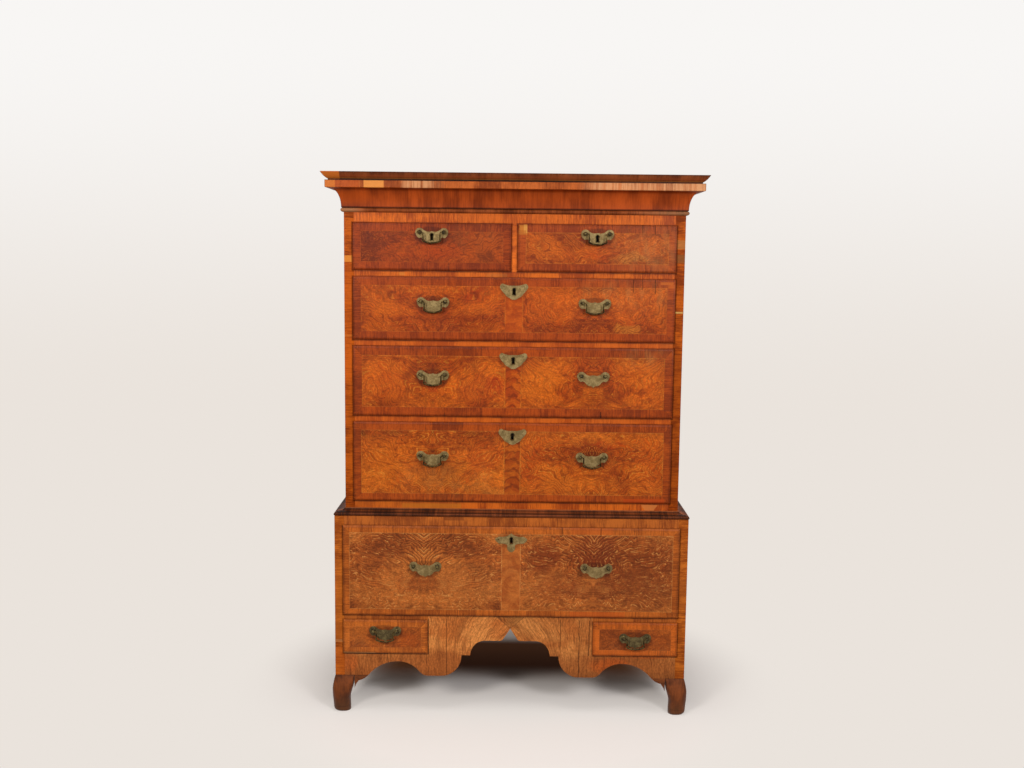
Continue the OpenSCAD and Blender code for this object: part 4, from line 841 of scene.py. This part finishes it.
def corniceWood(spec):
    b = bench("corniceWood")
    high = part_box("cornice")[1]
    top, frontY = high.z, spec["frontY"]
    along, outX, outY = cornerRun(b, spec)
    crown, crownHeight = crossGrain(b, along, b.z, 3.1, 260, spec["crown"], 0.6)
    band, bandHeight = crossGrain(b, along, b.z, 9.4, 58, spec["band"], 1.1)
    hollow, hollowHeight = crossGrain(b, along, b.z * 0.5, 14.2, 210, spec["hollow"], 0.55)
    wood = crossGrain(b, along, b.z, 17.7, 150, spec["neck"], 0.9)
    crown = b.mix(b.span(b.z, top - 0.016, top - 0.009, 0.004) * 0.45, crown, (160, 78, 42))
    # painted highlight: a pale line along the fillet at the foot of the crown
    crown = b.mix(b.span(b.z, top - 0.0188, top - 0.0168, 0.0007) * 0.55, crown, (196, 130, 74))
    crown = b.vary(crown, b.z, top - 0.004, top - 0.0015, 1, 0.55)
    onBandFront = b.rise(b.y, frontY - 0.02, frontY - 0.03)
    crown = b.mix(b.rise(b.x, -0.4978, -0.4988) * onBandFront * 0.9, crown, (206, 118, 52))
    band = b.mix(b.rise(b.x, -0.5125, -0.5115) * b.rise(b.x, -0.44, -0.446) * 0.6, band, (180, 82, 34))
    band = b.mix(b.rise(b.x, -0.511, -0.512) * 0.8, band, (210, 124, 58))
    band = b.mix(b.span(b.x, -0.43, -0.373) * onBandFront * 0.9, band, (228, 156, 90))
    streaks = b.noise((b.x * 240, b.z * 6, 2), 1, 4, 0.75)
    wide = b.noise((b.x * 26, b.z * 4, 6), 1, 2, 0.6)
    chalky = b.most(b.span(b.x, -0.318, -0.208, 0.012) * b.rise(streaks + wide, 0.85, 1.15, 0.1, 0.9),
                    b.rise(b.x, 0.17, 0.24) * b.rise(streaks + wide * 0.5, 0.6, 0.9, 0.3, 1))
    band = b.mix(chalky * onBandFront * 0.85, band, (224, 172, 144))
    hollow = b.mix(b.blot(b.x, b.z, (-470, 1530, 60, 22)) * 0.5, hollow, (186, 84, 30))
    for depth, *upper in (98.4, hollow, hollowHeight), (44.5, band, bandHeight), (22.5, crown, crownHeight):
        wood = b.lay(b.over(b.z, top - depth / 1000), wood, upper)
    colour, height = wood
    # painted shade: a dark line in the quirk under the crown, darkest up to the middle and less dark at the
    # right end
    colour = b.dim(colour, b.span(b.z, top - 0.0242, top - 0.0196, 0.0006), b.rise(b.x, 0.1, 0.3, 0.1, 0.3))
    # painted shade: a dark line in the recess at the foot of the hollow
    colour = b.dim(colour, b.span(b.z, top - 0.1, top - 0.0955, 0.0015), 0.3)
    atEnds = b.most(b.rise(b.x, -0.42, -0.48), b.rise(b.x, 0.3, 0.48) * 0.7)
    colour = b.mix(b.rise(b.z, top - 0.099, top - 0.102) * atEnds * 0.5, colour, (186, 152, 132))
    colour = b.dim(colour, b.rise(abs(outX - outY), 0.0014, 0.0005), 0.4)
    colour = b.glaze(colour, varnish["cornice"])
    sawn = b.mix(b.rise(b.noise(b.place, 30, 3, 0.6), 0.35, 0.65), (92, 54, 32), (128, 82, 50))
    colour = b.mix(b.rise(b.y, high.y - 0.0012, high.y - 0.0004), colour, sawn)
    dust = b.rise(b.facing[2], 0.8, 0.97) * b.rise(b.z, top - 0.002, top - 0.0005)
    colour = b.mix(dust * 0.7, colour, (120, 92, 70))
    return b.finish(colour, b.worn(0.36, 0.52, 8, 0.5), height, 0.0004, 0.9, 0.1)


def waistWood(spec):
    b = bench("waistWood")
    low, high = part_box("waist_moulding")
    along, outX, outY = cornerRun(b, spec)
    colour, height = crossGrain(b, along, b.z, 21.3, 230, spec["waist"], 0.9)
    # painted highlight: a pale line along the top edge
    colour = b.mix(b.rise(b.z, high.z - 0.0022, high.z - 0.001) * 0.5, colour, (176, 100, 54))
    for at, amount in (4.5, 0.35), (9.8, 0.15), (14.5, 0.3):  # painted shade in the quirks
        quirk = low.z + at / 1000
        colour = b.dim(colour, b.span(b.z, quirk, quirk + 0.0018), amount)
    colour = b.dim(colour, b.rise(abs(outX - outY), 0.0014, 0.0005), 0.4)
    colour = b.dim(colour, b.over(outX, outY), 1.6)  # painted light: the returns are made lighter, as the sides get less of the lamps' light
    return b.finish(colour, b.worn(0.5, 0.62, 8, 0.5), height, 0.0004, 0.9, 0.1)


easedCopy("cornice", corniceWood(mouldings), 0.0006, 24)
easedCopy("waist_moulding", waistWood(mouldings), 0.0005, 24)
print("mouldings finished")


# Feet and brackets of solid walnut

def solidWalnut(name, woods, upright):
    b = bench(name)
    along, across = (b.z, b.x) if upright else (b.x, b.z)
    wu, wv, _ = b.split(b.noise(b.place, 12, 2, 0.5, 0.3, hue=True))
    pa, pb = across + (wu - 0.5) * 0.02, b.y + (wv - 0.5) * 0.02
    strands = b.noise((pa * 180, pb * 180, along * 12), 1, 3, 0.65)
    pores = b.noise((pa * 1300, pb * 1300, along * 110), 1, 1)
    cloud = b.noise(b.place, 18, 3, 0.6)
    base = b.mix(b.rise(strands * 0.4 + cloud * 0.7, 0.36, 0.76), *woods)
    base = b.vary(base, pores, 0.34, 0.5, 0.86, 1)
    if upright:
        base = b.mix(b.rise(b.z + (cloud - 0.5) * 0.05, 0.06, 0) * 0.5, base, (92, 62, 38))
        base = b.dim(base, b.span(b.z, 0.0155, 0.0175, 0.0012), 0.7)
        scuffs = b.rise(b.noise(b.place, 45, 4, 0.7), 0.58, 0.7) * b.rise(b.z, 0.05, 0)
        base = b.mix(scuffs * 0.4, base, (140, 102, 78))
        base = b.vary(base, b.z, 0.1115, 0.1125, 1, 0.4)
    return b.finish(base, b.rise(cloud, 0.3, 0.7, 0.34, 0.5), strands * 0.5 + pores * 0.4, 0.0005, 0.9)


easedCopy("feet", solidWalnut("footWalnut", ((78, 38, 17), (136, 70, 32)), True), 0.0008, 50)
easedCopy("knee_brackets", solidWalnut("bracketWalnut", ((70, 34, 15), (140, 74, 34)), False), 0.0008, 40)
print("feet finished")


# Plain boards inside, behind and on top

def grimy(b, colour, paint, low, high, amount, scale=3.2):
    dirt = b.noise(b.place, scale, 4, 0.65)
    return b.mix(b.rise(dirt, low, high, 0, amount), colour, paint), b.rise(dirt, 0.3, 0.7, 0.62, 0.82)


def plainBoards(name, woods, grime):
    b = bench(name)
    upward, sideways = b.over(b.facing[2], 0.7), b.over(b.facing[0], 0.7)
    across = b.blend(upward, b.z, b.blend(sideways, b.y, b.z))
    colour, height = pineGrain(b, b.blend(sideways, b.x, b.y), across, b.blend(upward, b.y, b.z), woods, 1)
    colour, rough = grimy(b, colour, grime, 0.4, 0.75, 0.7)
    colour = b.vary(colour, b.noise(b.place, 38, 3, 0.6), 0.62, 0.75, 1, 0.72)
    return b.finish(colour, rough, height, 0.0005, 0.9)


linings = dict(side=0.0101, front=0.0201)  # thickness of a drawer's boards


def drawerWood(name):  # pine behind the front, oak sides, back and bottom
    b = bench(name + "Lining")
    boxLow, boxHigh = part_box(name + "_box")
    upward = b.over(b.facing[2], 0.7)
    fromMiddle = abs(b.x - (boxLow.x + boxHigh.x) / 2)
    inSide = b.over(fromMiddle, (boxHigh.x - boxLow.x) / 2 - linings["side"])
    along, across = b.blend(inSide, b.x, b.y), b.blend(inSide, b.blend(upward, b.z, b.y), b.z)
    through = b.blend(upward, b.y, b.z)
    oakColour, oakHeight = pineGrain(b, along, across, through, ((124, 84, 48), (166, 122, 76)), 2)
    flecks = b.noise((along * 40, b.z * 260, b.y * 30), 1, 2, 0.6)
    oakColour = b.mix(b.rise(flecks, 0.6, 0.72, 0, 0.35), oakColour, (188, 146, 96))
    pineColour, pineHeight = pineGrain(b, b.x, b.z, b.y, ((140, 92, 52), (182, 134, 82)), 4)
    inFront = b.over(boxLow.y + linings["front"], b.y)
    colour, _ = grimy(b, b.mix(inFront, oakColour, pineColour), (92, 62, 40), 0.45, 0.8, 0.5, 6)
    return b.finish(colour, 0.68, b.blend(inFront, oakHeight, pineHeight), 0.0004, 0.8)


def backBoards(node, count, woods, grime):  # boards that lie across the back, each with its own grain
    b = bench(node + "Pine")
    low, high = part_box(node)
    run = (b.z - low.z) * (count / (high.z - low.z))
    board, part = b.maths("FLOOR", run), b.maths("FRACT", run)
    each = b.chance(board, count, 0.5)
    colour, height = pineGrain(b, b.x + each * 4, b.z + each, b.y, woods, 1)
    colour = b.shade(colour, b.blend(each, 0.86, 1.12))
    knots = b.noise((b.x * 5, b.z * 11, board + 3), 1, 1, 0.4)
    colour = b.mix(b.rise(knots, 0.72, 0.78, 0, 0.8), colour, (78, 44, 24))
    colour, rough = grimy(b, colour, grime, 0.4, 0.75, 0.6)
    joint = b.rise(b.least(part, 1 - part), 0.012, 0.003)
    colour = b.dim(colour, joint, 0.22)
    return b.finish(colour, rough, height - joint * 1.2, 0.0006, 0.9)


pineTop = plainBoards("topPine", ((118, 78, 48), (158, 114, 74)), (92, 72, 58))
oakInside = plainBoards("insideOak", ((88, 58, 36), (128, 90, 56)), (58, 40, 28))
for node, count in ("upper_backboards", 4), ("stand_backboards", 3):
    easedCopy(node, backBoards(node, count, ((104, 68, 42), (156, 112, 72)), (80, 58, 42)), 0.0012)
for node in "top_board", "bottom_board", "upper_dustboards", "stand_dustboards":
    easedCopy(node, oakInside if "dust" in node else pineTop, 0.0008)
for name in fronts:
    easedCopy(name + "_box", drawerWood(name), 0.0004)
print("boards finished")


# Brasses and locks

brasses = dict(
    plate=dict(dull=(122, 100, 61), bright=(158, 134, 88), dirt=(80, 64, 38), metal=0.4),
    small=dict(dull=(84, 70, 44), bright=(122, 106, 68), dirt=(58, 44, 26), metal=0.45),
    post=dict(dull=(50, 42, 24), bright=(120, 104, 62), dirt=(34, 28, 16), metal=0.75),
    # the bails' dark colour is partly patina and partly painted shade, for the shadow in the gap behind them
    bail=dict(dull=(40, 31, 15), bright=(104, 84, 46), dirt=(28, 22, 12), metal=0.7),
    pinAt=dict(upper_long=(29, 14), middle_long=(29, 14), lower_long=(29, 14), deep=(38, 3)),
    pinSize=1.7,
    plateThick=1.2,
    keyBelowTop=40,
)


def agedBrass(b, spec):
    patina = b.noise(b.place, 90, 4, 0.65, 0.4)
    specks = b.noise(b.place, 420, 3, 0.6)
    cloud = b.noise(b.place, 28, 3, 0.6)
    colour = b.mix(b.rise(patina, 0.38, 0.68), spec["dull"], spec["bright"])
    colour = b.vary(colour, specks, 0.3, 0.6, 0.76, 1.06)
    return b.mix(b.rise(cloud, 0.55, 0.78, 0, 0.55), colour, spec["dirt"]), patina, specks


def plateBrass(name, plate, plateY):  # dull flat plates, and darker turned posts with a little polish left
    b = bench(name)
    flat, patina, specks = agedBrass(b, plate)
    turned, _, _ = agedBrass(b, brasses["post"])
    onPost = b.rise(b.y, plateY - 0.0012, plateY - 0.0018)
    sideways = b.rise(b.facing[1], 0.6, 0.3) * b.over(plateY + 0.004, b.y)  # edges of the plates
    colour = b.mix(sideways * 0.6, b.mix(onPost, flat, turned), plate["dirt"])
    b.shader.inputs["Metallic"].default_value = plate["metal"]
    rough = b.blend(onPost, b.rise(patina, 0.35, 0.7, 0.56, 0.42), 0.3)
    return b.finish(colour, rough, patina * 0.5 + specks * 0.4, 0.0002, 0.7)


def bailBrass(spec):
    b = bench("bailBrass")
    colour, patina, specks = agedBrass(b, spec)
    b.shader.inputs["Metallic"].default_value = spec["metal"]
    return b.finish(colour, b.rise(patina, 0.35, 0.7, 0.42, 0.28), patina * 0.5 + specks * 0.4, 0.0002, 0.7)


def keyholePins(name, material):  # two domed pins that hold a keyhole plate
    low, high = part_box(name + "_face")
    awayX, awayZ = brasses["pinAt"][name]
    size = brasses["pinSize"] / 1000
    work = bmesh.new()
    for side in (-1, 1):
        made = bmesh.ops.create_uvsphere(work, u_segments=16, v_segments=10, radius=size)["verts"]
        bmesh.ops.scale(work, verts=made, vec=(1, 0.6, 1))
        middle = ((low.x + high.x) / 2 + side * awayX / 1000, low.y - brasses["plateThick"] / 1000,
                  high.z + (awayZ - brasses["keyBelowTop"]) / 1000)
        bmesh.ops.translate(work, verts=made, vec=middle)
    piece = newPiece(name + "_pins", work, material)
    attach(piece, bodyOfNode[name + "_face"])


bailFinish = bailBrass(brasses["bail"])
for node in frame["nodes"]:
    if "_bail" in node:
        cleanCopy(node, bailFinish, 0.2)
upperBrass = plateBrass("upperBrass", brasses["plate"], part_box("upper_long_face")[0].y)
deepBrass = plateBrass("deepBrass", brasses["plate"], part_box("deep_face")[0].y)
smallBrass = plateBrass("smallBrass", brasses["small"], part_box("small_left_face")[0].y)
for name in fronts:
    finish = smallBrass if name.startswith("small") else deepBrass if name == "deep" else upperBrass
    easedCopy(name + "_brasses", finish, 0.0002, 30)
    if name in brasses["pinAt"]:
        keyholePins(name, finish)


def darkIron():
    b = bench("lockIron")
    rust = b.noise(b.place, 60, 4, 0.65)
    colour = b.mix(b.rise(rust, 0.45, 0.7), (62, 58, 54), (92, 62, 44))
    b.shader.inputs["Metallic"].default_value = 0.6
    return b.finish(colour, b.rise(rust, 0.3, 0.7, 0.45, 0.7), rust, 0.0003, 0.7)


iron = darkIron()
for name in fronts:
    for part in "_lock", "_bolt":
        if name + part in frame["nodes"]:
            easedCopy(name + part, iron, 0.0003)
print("brasses and locks finished")
